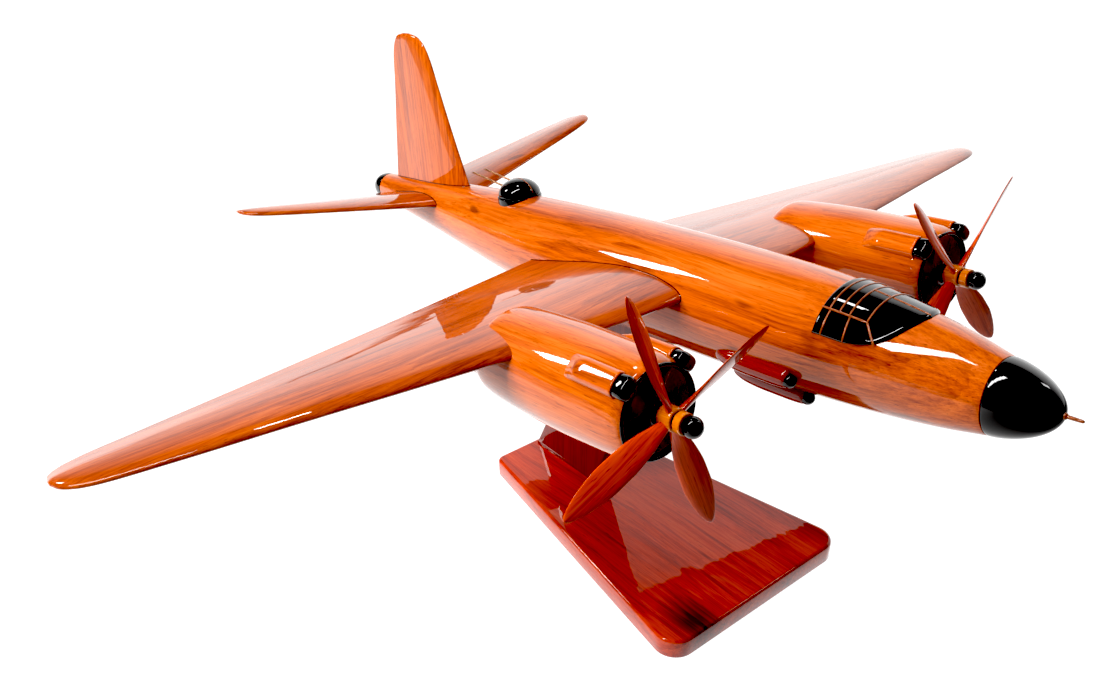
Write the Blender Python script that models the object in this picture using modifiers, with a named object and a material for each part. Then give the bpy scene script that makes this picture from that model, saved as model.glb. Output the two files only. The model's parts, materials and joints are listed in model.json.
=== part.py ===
"""Desktop display model of a twin-engined propeller aircraft on a wooden stand.

World frame: origin at the centre of the stand's underside, +Z up, the nose
towards -Y and the aircraft's port side towards +X.  All lengths are written
in millimetres and scaled by MM.  The aircraft is drawn level in its own frame
and then set on the stand with its nose raised by PITCH.
"""

import math

import bmesh
import bpy
from mathutils import Matrix, Vector

MM = 0.001
GAP = 0.3                 # clearance left between neighbouring pieces
PITCH = 7.0               # nose-up attitude on the stand, degrees
DATUM = (0.0, 0.65, 145.4)  # aircraft datum above the stand's underside

FUSELAGE_SIDES = 32
NOSE_Y = -178.0           # joint between the fuselage and the nose cone
TAIL_Y = 231.5            # joint between the fuselage and the tail cap
SPAN_HALF = 270.0
ENGINE_X = 89.0           # engine centreline off the fuselage centreline
ENGINE_Z = -2.8
COWL_Y = -98.8            # front of the wooden cowl
PROP_Y = -105.2           # plane of the propeller blades
PROP_R = 55.0
BLADE_ANGLES = {"starboard": -19.0, "port": -40.0}
SCOOP_Y = -94.8           # front of the scoop fairings
SHAFT_R = 1.2
HUB_BORE_R = 1.26

BASE_T = 10.0
BASE_FRONT_HALF = 61.5
BASE_REAR_HALF = 32.0
BASE_HALF_LENGTH = 85.15
UPRIGHT_T = 9.0
DOWEL_R = 2.5
DOWEL_Y = 6.0             # dowel position along the aircraft

# fuselage stations: y, centre height, radius
STATIONS = (
    (-178.0, -4.2, 14.7), (-171.0, -3.8, 16.3), (-162.0, -3.3, 18.2),
    (-150.0, -2.7, 20.2), (-135.0, -2.0, 22.2), (-118.0, -1.3, 23.9),
    (-98.0, -0.8, 25.2), (-70.0, -0.5, 25.9), (-35.0, -0.2, 26.2),
    (0.0, 0.0, 26.1), (40.0, 0.3, 25.3), (75.0, 1.2, 23.6),
    (105.0, 2.4, 21.2), (135.0, 3.8, 18.2), (165.0, 5.2, 15.1),
    (195.0, 6.2, 12.0), (220.0, 6.9, 9.5), (231.5, 7.2, 8.4),
)


def clear_scene():
    for obj in list(bpy.data.objects):
        bpy.data.objects.remove(obj, do_unlink=True)
    for block in (bpy.data.meshes, bpy.data.curves, bpy.data.materials, bpy.data.collections):
        for item in list(block):
            block.remove(item)


def make_collections():
    scene = bpy.context.scene
    parts = bpy.data.collections.new("aircraft_display_model")
    cutters = bpy.data.collections.new("cutters")
    scene.collection.children.link(parts)
    scene.collection.children.link(cutters)
    cutters.hide_render = True
    return parts, cutters


def make_material(name, color, roughness, metallic=0.0, coat=0.0):
    mat = bpy.data.materials.new(name)
    mat.use_nodes = True
    shader = mat.node_tree.nodes["Principled BSDF"]
    shader.inputs["Base Color"].default_value = (*color, 1.0)
    shader.inputs["Roughness"].default_value = roughness
    shader.inputs["Metallic"].default_value = metallic
    shader.inputs["Coat Weight"].default_value = coat
    mat.diffuse_color = (*color, 1.0)
    return mat


def make_materials():
    return {
        "mahogany": make_material("mahogany_gloss", (0.62, 0.13, 0.015), 0.18, 0.0, 1.0),
        "dark_mahogany": make_material("mahogany_dark", (0.30, 0.02, 0.006), 0.15, 0.0, 1.0),
        "blade": make_material("mahogany_blade", (0.45, 0.05, 0.01), 0.16, 0.0, 1.0),
        "black": make_material("gloss_black", (0.006, 0.006, 0.007), 0.1, 0.0, 1.0),
        "copper": make_material("copper_paint", (0.45, 0.14, 0.05), 0.35, 0.4),
        "hub": make_material("hub_bronze", (0.55, 0.20, 0.05), 0.25, 0.5),
        "steel": make_material("bright_steel", (0.6, 0.58, 0.55), 0.3, 1.0),
    }


def aircraft_matrix():
    lift = Matrix.Translation(Vector(DATUM) * MM)
    return lift @ Matrix.Rotation(math.radians(-PITCH), 4, "X")


def add_object(name, mesh, material, matrix, collection):
    obj = bpy.data.objects.new(name, mesh)
    collection.objects.link(obj)
    obj.matrix_world = matrix
    if material is not None:
        mesh.materials.append(material)
    if collection.name == "cutters":
        obj.hide_render = True
        obj.display_type = "WIRE"
    return obj


def mesh_from_bmesh(name, bm):
    bmesh.ops.recalc_face_normals(bm, faces=bm.faces)
    mesh = bpy.data.meshes.new(name)
    bm.to_mesh(mesh)
    bm.free()
    return mesh


def loft_mesh(name, rings):
    """Closed skin through rings of equal point count, capped at both ends."""
    bm = bmesh.new()
    rows = []
    for ring in rings:
        rows.append([bm.verts.new(Vector(p) * MM) for p in ring])
    count = len(rows[0])
    for low, high in zip(rows, rows[1:]):
        for i in range(count):
            j = (i + 1) % count
            bm.faces.new((low[i], low[j], high[j], high[i]))
    bm.faces.new(rows[0])
    bm.faces.new(rows[-1])
    return mesh_from_bmesh(name, bm)


def round_ring(y, zc, half_width, top, bottom, sides, xc=0.0):
    ring = []
    for i in range(sides):
        a = 2.0 * math.pi * i / sides
        height = top if math.cos(a) >= 0.0 else bottom
        ring.append((xc + half_width * math.sin(a), y, zc + height * math.cos(a)))
    return ring


def station_at(y):
    for low, high in zip(STATIONS, STATIONS[1:]):
        if y <= high[0]:
            f = (y - low[0]) / (high[0] - low[0])
            f = max(f, 0.0)
            return low[1] + f * (high[1] - low[1]), low[2] + f * (high[2] - low[2])
    return STATIONS[-1][1], STATIONS[-1][2]


def turned_mesh(name, profile):
    """Half profile as (radius, height) pairs, joined into one open or closed line."""
    closed = profile[0] == profile[-1]
    points = profile[:-1] if closed else profile
    bm = bmesh.new()
    verts = [bm.verts.new((r * MM, 0.0, h * MM)) for r, h in points]
    for a, b in zip(verts, verts[1:]):
        bm.edges.new((a, b))
    if closed:
        bm.edges.new((verts[-1], verts[0]))
    mesh = bpy.data.meshes.new(name)
    bm.to_mesh(mesh)
    bm.free()
    return mesh


def add_turned(name, profile, material, matrix, collection, steps=20):
    obj = add_object(name, turned_mesh(name, profile), material, matrix, collection)
    screw = obj.modifiers.new("turn", "SCREW")
    screw.axis = "Z"
    screw.angle = 2.0 * math.pi
    screw.steps = steps
    screw.render_steps = steps
    screw.use_merge_vertices = True
    screw.merge_threshold = 0.00002
    return obj


def add_boolean(obj, cutter, operation="DIFFERENCE"):
    mod = obj.modifiers.new("boolean_" + cutter.name, "BOOLEAN")
    mod.operation = operation
    mod.solver = "EXACT"
    mod.object = cutter
    return mod


def add_bevel(obj, width, segments=2, angle=40.0):
    mod = obj.modifiers.new("edge", "BEVEL")
    mod.width = width * MM
    mod.segments = segments
    mod.limit_method = "ANGLE"
    mod.angle_limit = math.radians(angle)
    return mod


def forward(matrix, x, y, z):
    """Frame at a point of the aircraft whose +Z looks forward, towards the nose."""
    return matrix @ Matrix.Translation(Vector((x, y, z)) * MM) @ Matrix.Rotation(math.radians(90), 4, "X")


def upward(matrix, x, y, z):
    return matrix @ Matrix.Translation(Vector((x, y, z)) * MM)


def fuselage_mesh(name, grow=0.0, front=0.0, rear=0.0):
    rings = []
    for i, (y, zc, r) in enumerate(STATIONS):
        if i == 0:
            y -= front
        if i == len(STATIONS) - 1:
            y += rear
        rings.append(round_ring(y, zc, r + grow, r + grow, r + grow, FUSELAGE_SIDES))
    return loft_mesh(name, rings)


def build_fuselage(parts, cutters, mats, craft):
    grown = add_object("fuselage_clearance", fuselage_mesh("fuselage_clearance", GAP, 5.0, 5.0),
                       None, craft, cutters)
    body = add_object("fuselage", fuselage_mesh("fuselage"), mats["mahogany"], craft, parts)
    bore = [(0.0, 13.0), (DOWEL_R + 0.2, 13.0), (DOWEL_R + 0.2, -20.0), (0.0, -20.0)]
    hole = add_turned("dowel_hole", bore, None, upward(craft, 0, DOWEL_Y, -26.0), cutters)
    add_boolean(body, hole)
    return grown


def build_nose(parts, mats, craft):
    length = 22.0
    base_r = 14.7
    profile = [(0.0, length)]
    for i in range(1, 10):
        f = 1.0 - i / 9.0
        r = base_r * math.sqrt(max(0.0, 1.0 - f ** 1.5))
        profile.append((r, length * f))
    profile.append((0.0, 0.0))
    place = forward(craft, 0, NOSE_Y - GAP, -4.2)
    nose = add_turned("nose_cone", profile, mats["black"], place, parts, 32)
    pin = [(0.0, 6.6), (0.75, 6.2), (0.8, 1.0), (0.8, -6.0), (0.0, -6.0)]
    pin_place = forward(craft, 0, NOSE_Y - GAP - length, -4.2)
    add_turned("nose_pin", pin, mats["copper"], pin_place, parts, 16)
    hole = [(0.0, 3.0), (0.8 + GAP, 3.0), (0.8 + GAP, -6.0 - GAP), (0.0, -6.0 - GAP)]
    return nose, hole, pin_place


def cut_nose(nose, hole, place, cutters):
    cutter = add_turned("nose_pin_hole", hole, None, place, cutters, 16)
    add_boolean(nose, cutter)


def build_tail_cap(parts, mats, craft):
    profile = [(0.0, 13.0)]
    for i in range(1, 8):
        f = 1.0 - i / 7.0
        profile.append((8.4 * math.sqrt(max(0.0, 1.0 - f ** 2.4)), 13.0 * f))
    profile.append((0.0, 0.0))
    place = upward(craft, 0, TAIL_Y + GAP, 7.2) @ Matrix.Rotation(math.radians(-90), 4, "X")
    add_turned("tail_cap", profile, mats["black"], place, parts)


AIRFOIL = (
    (0.0, 0.0), (0.02, 0.20), (0.08, 0.38), (0.20, 0.54), (0.36, 0.60), (0.56, 0.50), (0.80, 0.25),
    (1.0, 0.03), (1.0, -0.03), (0.80, -0.14), (0.56, -0.31), (0.36, -0.39), (0.20, -0.36),
    (0.08, -0.25), (0.02, -0.14),
)


def foil_ring(lead, trail, thickness, grow=0.0):
    """Section between a leading and a trailing point; thickness is vertical or sideways."""
    lead = Vector(lead)
    trail = Vector(trail)
    chord = trail - lead
    along = chord.normalized()
    lead = lead - along * grow
    chord = chord + along * 2.0 * grow
    side = Vector((0, 0, 1))
    scale = thickness + 2.2 * grow
    return [tuple(lead + chord * c + side * scale * t) for c, t in AIRFOIL]


# wing stations: distance from the centreline, leading y, trailing y, leading z, trailing z, thickness
WING = (
    (16.0, -47.5, 58.5, 7.4, 2.6, 13.4), (40.0, -46.5, 54.5, 7.6, 2.9, 12.6),
    (88.0, -40.5, 46.5, 7.8, 3.6, 10.8), (140.0, -32.0, 37.5, 8.3, 4.8, 9.0),
    (190.0, -23.0, 29.0, 8.8, 6.0, 7.2), (235.0, -15.5, 21.5, 9.3, 7.2, 5.6),
    (256.0, -11.5, 17.5, 9.6, 7.9, 4.6), (264.0, -8.0, 14.5, 9.6, 8.2, 3.8),
    (268.5, -3.0, 10.5, 9.4, 8.5, 2.6), (270.0, 1.0, 6.5, 9.2, 8.8, 1.4),
)


WING_DROP = {-1: 1.8, 1: 8.5}      # how far each hand-fitted wing tip sits below its station height
TAILPLANE_RISE = {-1: 0.180, 1: 0.205}


def wing_mesh(name, side, grow=0.0):
    rings = []
    for x, y0, y1, z0, z1, t in WING:
        drop = WING_DROP[side] * x / SPAN_HALF
        rings.append(foil_ring((side * x, y0, z0 - drop), (side * x, y1, z1 - drop), t, grow))
    return loft_mesh(name, rings)


def build_wings(parts, cutters, mats, craft, grown):
    clearances = {}
    for label, side in (("starboard", -1), ("port", 1)):
        wing = add_object("wing_" + label, wing_mesh("wing_" + label, side), mats["mahogany"], craft, parts)
        add_boolean(wing, grown)
        name = "wing_clearance_" + label
        clearances[label] = add_object(name, wing_mesh(name, side, GAP), None, craft, cutters)
    return clearances


# tailplane stations: distance from the centreline, leading y, trailing y, thickness
TAILPLANE = (
    (5.0, 155.0, 209.0, 7.0), (30.0, 158.5, 204.5, 6.2), (70.0, 163.5, 198.5, 5.0),
    (104.0, 168.5, 193.0, 4.2), (114.0, 171.5, 190.5, 3.4), (118.5, 175.5, 187.5, 2.4),
    (120.0, 179.0, 184.5, 1.4),
)


def build_tailplanes(parts, mats, craft, grown):
    for label, side in (("starboard", -1), ("port", 1)):
        rings = []
        for x, y0, y1, t in TAILPLANE:
            z = 8.6 + TAILPLANE_RISE[side] * x
            rings.append(foil_ring((side * x, y0, z), (side * x, y1, z), t))
        name = "tailplane_" + label
        plane = add_object(name, loft_mesh(name, rings), mats["mahogany"], craft, parts)
        add_boolean(plane, grown)


# fin stations: height, leading y, trailing y, thickness
FIN = (
    (12.0, 137.5, 220.0, 9.0), (26.0, 144.0, 217.0, 8.0), (50.0, 153.0, 212.0, 6.8),
    (75.0, 161.5, 206.5, 5.6), (91.0, 167.0, 203.5, 4.8), (98.0, 171.5, 200.5, 4.0),
    (101.8, 177.5, 196.5, 3.0), (103.2, 183.5, 191.0, 1.6),
)


def build_fin(parts, mats, craft, grown):
    rings = []
    for z, y0, y1, t in FIN:
        ring = []
        for c, h in AIRFOIL:
            ring.append((1.0 * t * (h - 0.1) if 0.0 < c < 1.0 else t * h, y0 + (y1 - y0) * c, z))
        rings.append(ring)
    fin = add_object("fin", loft_mesh("fin", rings), mats["mahogany"], craft, parts)
    add_boolean(fin, grown)


def skin_point(y, degrees, lift):
    zc, r = station_at(y)
    a = math.radians(degrees)
    return ((r + lift) * math.sin(a), y, zc + (r + lift) * math.cos(a))


def canopy_front(degrees):
    """Front boundary of the glazing as a function of the angle from the top."""
    table = ((0, -149.2), (15, -148.0), (34, -145.0), (50, -141.0), (58, -138.0), (64, -134.0))
    a = abs(degrees)
    for (a0, y0), (a1, y1) in zip(table, table[1:]):
        if a <= a1:
            return y0 + (y1 - y0) * (a - a0) / (a1 - a0)
    return table[-1][1]


def shell_mesh(name, rows, low, high):
    """Thin closed shell over a grid of (y, angle) positions on the fuselage skin."""
    bm = bmesh.new()
    outer = [[bm.verts.new(Vector(skin_point(y, a, high)) * MM) for y, a in row] for row in rows]
    inner = [[bm.verts.new(Vector(skin_point(y, a, low)) * MM) for y, a in row] for row in rows]
    last = len(rows) - 1
    end = len(rows[0]) - 1
    for i in range(last):
        for j in range(end):
            bm.faces.new((outer[i][j], outer[i][j + 1], outer[i + 1][j + 1], outer[i + 1][j]))
            bm.faces.new((inner[i][j], inner[i + 1][j], inner[i + 1][j + 1], inner[i][j + 1]))
    for i in range(last):
        bm.faces.new((outer[i][0], outer[i + 1][0], inner[i + 1][0], inner[i][0]))
        bm.faces.new((outer[i][end], inner[i][end], inner[i + 1][end], outer[i + 1][end]))
    for j in range(end):
        bm.faces.new((outer[0][j], inner[0][j], inner[0][j + 1], outer[0][j + 1]))
        bm.faces.new((outer[last][j], outer[last][j + 1], inner[last][j + 1], inner[last][j]))
    return mesh_from_bmesh(name, bm)


def build_canopy(parts, cutters, mats, craft):
    rows = []
    for i in range(17):
        a = -64.0 + 128.0 * i / 16.0
        front = canopy_front(a)
        rows.append([(-113.0 + (front + 113.0) * j / 5.0, a) for j in range(6)])
    mesh = shell_mesh("canopy_glazing", rows, GAP, 1.2)
    add_object("canopy_glazing", mesh, mats["black"], craft, parts)
    build_canopy_frame(parts, cutters, mats, craft)


def frame_bar(path, width, lift, steps=8):
    """Grid of (y, angle) positions for a bar of constant width along a path."""
    (y0, a0), (y1, a1) = path
    radius = 24.0
    dy = y1 - y0
    da = math.radians(a1 - a0) * radius
    length = math.hypot(dy, da)
    ny = -da / length * width * 0.5
    na = math.degrees(dy / length * width * 0.5 / radius)
    rows = []
    for i in range(steps + 1):
        f = i / steps
        y = y0 + dy * f
        a = a0 + (a1 - a0) * f
        rows.append([(y + ny, a + na), (y - ny, a - na)])
    return rows


def build_canopy_frame(parts, cutters, mats, craft):
    rail = 39.0
    bars = [((-132.4, -rail - 2), (-132.4, rail + 2))]
    bars += [((y, -rail - 1), (y, rail + 1)) for y in (-116.6, -120.8, -125.0)]
    for s in (-1, 1):
        bars.append(((-113.4, s * rail), (-133.0, s * rail)))
        bars.append(((-117.2, s * (rail - 1)), (-117.2, s * 62.5)))
        bars.append(((-125.6, s * (rail - 1)), (-126.6, s * 62.5)))
        bars.append(((-131.8, s * (rail - 2)), (-138.2, s * 56.0)))
    bars.append(((-124.4, 0.0), (-133.0, 0.0)))
    bars.append(((-132.0, 0.0), (-148.4, 0.0)))
    frame = None
    for i, path in enumerate(bars):
        steps = 8 if abs(path[0][1] - path[1][1]) > 40 else 3
        low = 1.45 + 0.013 * (i % 5)
        high = 1.90 + 0.017 * ((i * 3) % 7)
        mesh = shell_mesh("canopy_bar_%d" % i, frame_bar(path, 0.9 + 0.01 * i, 0.0, steps), low, high)
        if frame is None:
            mesh.name = "canopy_frame"
            frame = add_object("canopy_frame", mesh, mats["copper"], craft, parts)
        else:
            bar = add_object("canopy_bar_%d" % i, mesh, None, craft, cutters)
            add_boolean(frame, bar, "UNION")


def build_turret(parts, cutters, mats, craft, grown):
    y = 95.0
    base = 21.0
    ring = [(11.7, 3.2), (11.7, -6.0), (9.4, -6.0), (9.4, 3.2), (11.7, 3.2)]
    collar = add_turned("turret_ring", ring, mats["black"], upward(craft, 0, y, base), parts)
    add_boolean(collar, grown)
    dome = []
    for i in range(9):
        a = 0.5 * math.pi * (1.0 - i / 8.0)
        dome.append((11.2 * math.cos(a) if i else 0.0, 3.5 + 8.4 * math.sin(a)))
    dome.append((0.0, 3.5))
    shell = add_turned("turret_dome", dome, mats["black"], upward(craft, 0, y, base), parts)
    for label, side in (("starboard", -1), ("port", 1)):
        place = upward(craft, side * 4.0, y + 3.0, base + 7.0)
        place = place @ Matrix.Rotation(math.radians(-83.0), 4, "X")
        gun = [(0.0, 33.0), (0.55, 32.7), (0.6, 2.0), (0.6, 0.0), (0.0, 0.0)]
        add_turned("turret_gun_" + label, gun, mats["copper"], place, parts, 12)
        hole = [(0.0, 40.0), (0.6 + GAP, 40.0), (0.6 + GAP, -GAP), (0.0, -GAP)]
        cutter = add_turned("turret_gun_hole_" + label, hole, None, place, cutters, 12)
        add_boolean(shell, cutter)


def nacelle_rings():
    stations = (
        (COWL_Y, 18.6, 18.6, 18.6), (-97.8, 19.4, 19.4, 19.4), (-93.0, 20.6, 20.6, 20.7),
        (-76.0, 21.5, 21.3, 21.8), (-56.0, 21.9, 21.3, 22.4), (-38.0, 21.6, 20.7, 22.2),
        (-24.0, 21.2, 19.8, 21.4), (-15.0, 20.4, 18.8, 20.6), (-11.0, 19.2, 16.8, 20.0),
        (-8.8, 17.6, 12.5, 19.6), (-7.8, 16.6, 8.6, 19.3), (10.0, 14.2, 7.6, 16.0),
        (26.0, 10.8, 4.8, 11.6), (38.0, 6.8, 3.6, 8.0), (46.0, 2.6, 2.4, 3.0),
    )
    return stations


def build_nacelles(parts, cutters, mats, craft, clearances):
    cowls = {}
    for label, side in (("starboard", -1), ("port", 1)):
        rings = [round_ring(y, ENGINE_Z, w, t, b, 28, side * ENGINE_X) for y, w, t, b in nacelle_rings()]
        name = "nacelle_" + label
        body = add_object(name, loft_mesh(name, rings), mats["mahogany"], craft, parts)
        add_boolean(body, clearances[label])
        hole = [(0.0, 2.0), (17.6, 2.0), (17.6, -1.8), (SHAFT_R + GAP, -1.8), (SHAFT_R + GAP, -8.0 - GAP),
                (0.0, -8.0 - GAP)]
        place = forward(craft, side * ENGINE_X, COWL_Y, ENGINE_Z)
        cutter = add_turned("shaft_hole_" + label, hole, None, place, cutters)
        add_boolean(body, cutter)
        cowls[label] = body
    return cowls


def scoop_mesh(name, length, width, height):
    """Low fairing with a rounded back and an upright square front."""
    rings = []
    for f, w, h in ((0.0, 0.30, 0.10), (0.12, 0.62, 0.45), (0.35, 0.86, 0.80), (0.7, 1.0, 1.0), (1.0, 1.0, 1.0)):
        ring = []
        for i in range(10):
            a = math.pi * i / 9.0
            ring.append((width * 0.5 * w * math.copysign(abs(math.cos(a)) ** 0.6, math.cos(a)),
                         length * (1.0 - f), height * h * math.sin(a) ** 0.6))
        ring.append((-width * 0.5 * w, length * (1.0 - f), -4.0))
        ring.append((width * 0.5 * w, length * (1.0 - f), -4.0))
        rings.append(ring)
    return loft_mesh(name, rings)


def build_scoops(parts, cutters, mats, craft, side, label, cowl_clear):
    spots = (("outer", side * 44.0), ("inner", -side * 44.0))
    for spot, degrees in spots:
        roll = Matrix.Rotation(math.radians(degrees), 4, "Y")
        hub = upward(craft, side * ENGINE_X, 0.0, ENGINE_Z) @ roll
        place = hub @ Matrix.Translation(Vector((0.0, SCOOP_Y, 19.4)) * MM)
        name = "scoop_%s_%s" % (spot, label)
        fairing = add_object(name, scoop_mesh(name, 30.0, 10.5, 5.2), mats["mahogany"], place, parts)
        add_boolean(fairing, cowl_clear)
        plug_name = "intake_%s_%s" % (spot, label)
        plug = plug_mesh(plug_name, 9.6, 6.6, 5.6)
        plug_place = hub @ Matrix.Translation(Vector((0.0, SCOOP_Y - GAP, 18.9)) * MM)
        intake = add_object(plug_name, plug, mats["black"], plug_place, parts)
        add_boolean(intake, cowl_clear)


def plug_mesh(name, width, height, length):
    """Rounded block with its length towards the nose."""
    rings = []
    for f, k in ((0.0, 0.94), (0.15, 1.0), (0.75, 1.0), (0.93, 0.90), (1.0, 0.72)):
        ring = []
        for i in range(16):
            a = 2.0 * math.pi * i / 16.0
            c = math.copysign(abs(math.cos(a)) ** 0.7, math.cos(a))
            s = math.copysign(abs(math.sin(a)) ** 0.7, math.sin(a))
            ring.append((width * 0.5 * k * c, -length * f, height * 0.5 * k * s + height * 0.28))
        rings.append(ring)
    return loft_mesh(name, rings)


def build_engine(parts, cutters, mats, craft, side, label):
    x = side * ENGINE_X
    rings = [round_ring(y, ENGINE_Z, w + GAP, t + GAP, b + GAP, 28, x) for y, w, t, b in nacelle_rings()]
    rings.insert(0, round_ring(COWL_Y - 6.0, ENGINE_Z, 18.9, 18.9, 18.9, 28, x))
    cowl_clear = add_object("cowl_clearance_" + label, loft_mesh("cowl_clearance_" + label, rings),
                            None, craft, cutters)
    build_scoops(parts, cutters, mats, craft, side, label, cowl_clear)
    face = [(17.3, -0.4), (17.3, -1.5), (SHAFT_R + GAP, -1.5), (SHAFT_R + GAP, 0.0), (16.6, 0.0), (17.3, -0.4)]
    add_turned("engine_face_" + label, face, mats["black"], forward(craft, x, COWL_Y, ENGINE_Z), parts, 28)
    shaft = [(0.0, 12.0), (SHAFT_R, 12.0), (SHAFT_R, -8.0), (0.0, -8.0)]
    add_turned("prop_shaft_" + label, shaft, mats["steel"], forward(craft, x, COWL_Y, ENGINE_Z), parts)


def hub_profile():
    """Hub seen from the side, measured forward from the blade plane."""
    outer = [(4.2, 7.2), (4.2, 3.9), (3.6, 3.7), (3.6, 2.9), (4.4, 2.7), (4.7, 1.6), (4.7, -2.6), (4.1, -4.4)]
    return outer + [(HUB_BORE_R, -4.4), (HUB_BORE_R, 7.2), (4.2, 7.2)]


def blade_mesh(name, degrees):
    """Paddle blade standing off the hub along a direction in the propeller plane."""
    a = math.radians(degrees)
    out = Vector((math.sin(a), 0.0, math.cos(a)))
    tangent = Vector((0, 1, 0)).cross(out)
    rings = []
    table = (
        (5.0, 4.6, 2.8, 46), (9.0, 6.4, 2.5, 43), (16.0, 9.2, 2.1, 36), (25.0, 11.2, 1.8, 31),
        (34.0, 11.4, 1.6, 29), (42.5, 9.6, 1.3, 26), (49.5, 6.4, 1.0, 24), (53.6, 3.2, 0.8, 23),
        (PROP_R, 1.0, 0.5, 23),
    )
    for r, chord, thick, pitch in table:
        p = math.radians(pitch)
        along = tangent * math.cos(p) + Vector((0, 1, 0)) * math.sin(p)
        normal = out.cross(along)
        ring = []
        for i in range(8):
            t = 2.0 * math.pi * i / 8.0
            point = out * r + along * (0.5 * chord * math.cos(t)) + normal * (0.5 * thick * math.sin(t))
            ring.append(tuple(point))
        rings.append(ring)
    return loft_mesh(name, rings)


def build_propeller(parts, cutters, mats, craft, side, label):
    x = side * ENGINE_X
    place = forward(craft, x, PROP_Y, ENGINE_Z)
    hub = add_turned("prop_hub_" + label, hub_profile(), mats["hub"], place, parts)
    cap = [(0.0, 6.6)]
    for i in range(1, 7):
        a = 0.5 * math.pi * (1.0 - i / 6.0)
        cap.append((4.1 * math.cos(a), 2.7 + 3.9 * math.sin(a)))
    cap += [(3.8, 0.8), (3.0, 0.0), (0.0, 0.0)]
    add_turned("prop_cap_" + label, cap, mats["black"], forward(craft, x, PROP_Y - 7.2 - GAP, ENGINE_Z), parts)
    for i, letter in enumerate("abcd"):
        name = "prop_blade_%s_%s" % (letter, label)
        mesh = blade_mesh(name, BLADE_ANGLES[label] + 90.0 * i)
        add_object(name, mesh, mats["blade"], upward(craft, x, PROP_Y, ENGINE_Z), parts)
    return hub


def build_pods(parts, mats, craft, grown):
    for label, side in (("starboard", -1), ("port", 1)):
        for level, degrees, y_back in (("upper", 117.0, -65.0), ("lower", 149.0, -66.0)):
            zc, r = station_at(-87.0)
            a = math.radians(degrees)
            x = side * (r + 0.3) * math.sin(a)
            z = zc + (r + 0.3) * math.cos(a)
            length = 39.0
            profile = [(0.0, length), (3.4, length - 0.05), (4.2, length - 1.4), (4.6, length - 9.0), (4.5, 18.0)]
            profile += [(3.9, 9.0), (2.7, 3.6), (1.2, 0.8), (0.0, 0.0)]
            name = "gun_pod_%s_%s" % (level, label)
            pod = add_turned(name, profile, mats["mahogany"], forward(craft, x, y_back, z), parts, 20)
            add_boolean(pod, grown)
            tip = [(0.0, 3.2), (1.7, 2.6), (2.7, 1.3), (3.0, 0.0), (0.0, 0.0)]
            muzzle_x = side * (r + 1.6) * math.sin(a)
            muzzle_z = zc + (r + 1.6) * math.cos(a)
            name = "gun_muzzle_%s_%s" % (level, label)
            muzzle = add_turned(name, tip, mats["black"], forward(craft, muzzle_x, y_back - length - GAP, muzzle_z),
                                parts, 16)
            add_boolean(muzzle, grown)


def rounded_plan(points, radii, steps=6):
    """Outline with rounded corners from corner points listed in order."""
    outline = []
    count = len(points)
    for i in range(count):
        here = Vector(points[i])
        back = (Vector(points[i - 1]) - here).normalized()
        ahead = (Vector(points[(i + 1) % count]) - here).normalized()
        half = back.angle(ahead) * 0.5
        centre = here + (back + ahead).normalized() * (radii[i] / math.sin(half))
        start = here + back * (radii[i] / math.tan(half)) - centre
        stop = here + ahead * (radii[i] / math.tan(half)) - centre
        for s in range(steps + 1):
            f = s / steps
            spoke = start.slerp(stop, f)
            outline.append(centre + spoke.normalized() * radii[i])
    return outline


def prism_mesh(name, outline, low, high, axis="Z"):
    bottom = []
    top = []
    for p in outline:
        if axis == "Z":
            bottom.append((p[0], p[1], low))
            top.append((p[0], p[1], high))
        else:
            bottom.append((low, p[0], p[1]))
            top.append((high, p[0], p[1]))
    return loft_mesh(name, [bottom, top])


def build_stand(parts, cutters, mats, craft, grown):
    world = Matrix.Identity(4)
    corners = [(-BASE_FRONT_HALF, -BASE_HALF_LENGTH), (BASE_FRONT_HALF, -BASE_HALF_LENGTH),
               (BASE_REAR_HALF, BASE_HALF_LENGTH), (-BASE_REAR_HALF, BASE_HALF_LENGTH)]
    outline = rounded_plan(corners, (11.0, 11.0, 5.0, 5.0))
    base = add_object("base_board", prism_mesh("base_board", outline, 0.0, BASE_T), mats["dark_mahogany"],
                      world, parts)
    add_bevel(base, 1.6, 3)
    foot = BASE_T + GAP
    plate = [(82.2, foot), (34.0, foot), (-25.0, 132.0), (24.0, 132.0)]
    upright = add_object("upright", prism_mesh("upright", plate, -UPRIGHT_T / 2, UPRIGHT_T / 2, "X"),
                         mats["dark_mahogany"], world, parts)
    add_boolean(upright, grown)
    bore = [(0.0, 30.0), (DOWEL_R + GAP, 30.0), (DOWEL_R + GAP, -GAP), (0.0, -GAP)]
    hole = add_turned("upright_dowel_hole", bore, None, upward(craft, 0, DOWEL_Y, -40.0), cutters)
    add_boolean(upright, hole)
    dowel = [(0.0, 26.0), (DOWEL_R - 0.6, 26.0), (DOWEL_R, 25.4), (DOWEL_R, 0.0), (0.0, 0.0)]
    add_turned("mount_dowel", dowel, mats["blade"], upward(craft, 0, DOWEL_Y, -40.0), parts)
    for label, y in (("front", 46.0), ("rear", 70.0)):
        screw = [(0.0, 21.0), (0.5, 20.8), (1.2, 18.6), (1.5, 17.0), (1.5, 3.2), (3.4, 1.3), (3.4, 0.5), (0.0, 0.5)]
        place = Matrix.Translation(Vector((0.0, y, 0.0)) * MM)
        add_turned("stand_screw_" + label, screw, mats["steel"], place, parts, 20)
        hole = [(0.0, 21.0 + GAP), (1.5 + GAP, 21.0 + GAP), (1.5 + GAP, 3.2 + GAP), (3.4 + GAP, 1.3 + GAP)]
        hole += [(3.4 + GAP, -2.0), (0.0, -2.0)]
        cutter = add_turned("stand_screw_hole_" + label, hole, None, place, cutters, 20)
        add_boolean(base, cutter)
        add_boolean(upright, cutter)


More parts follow.
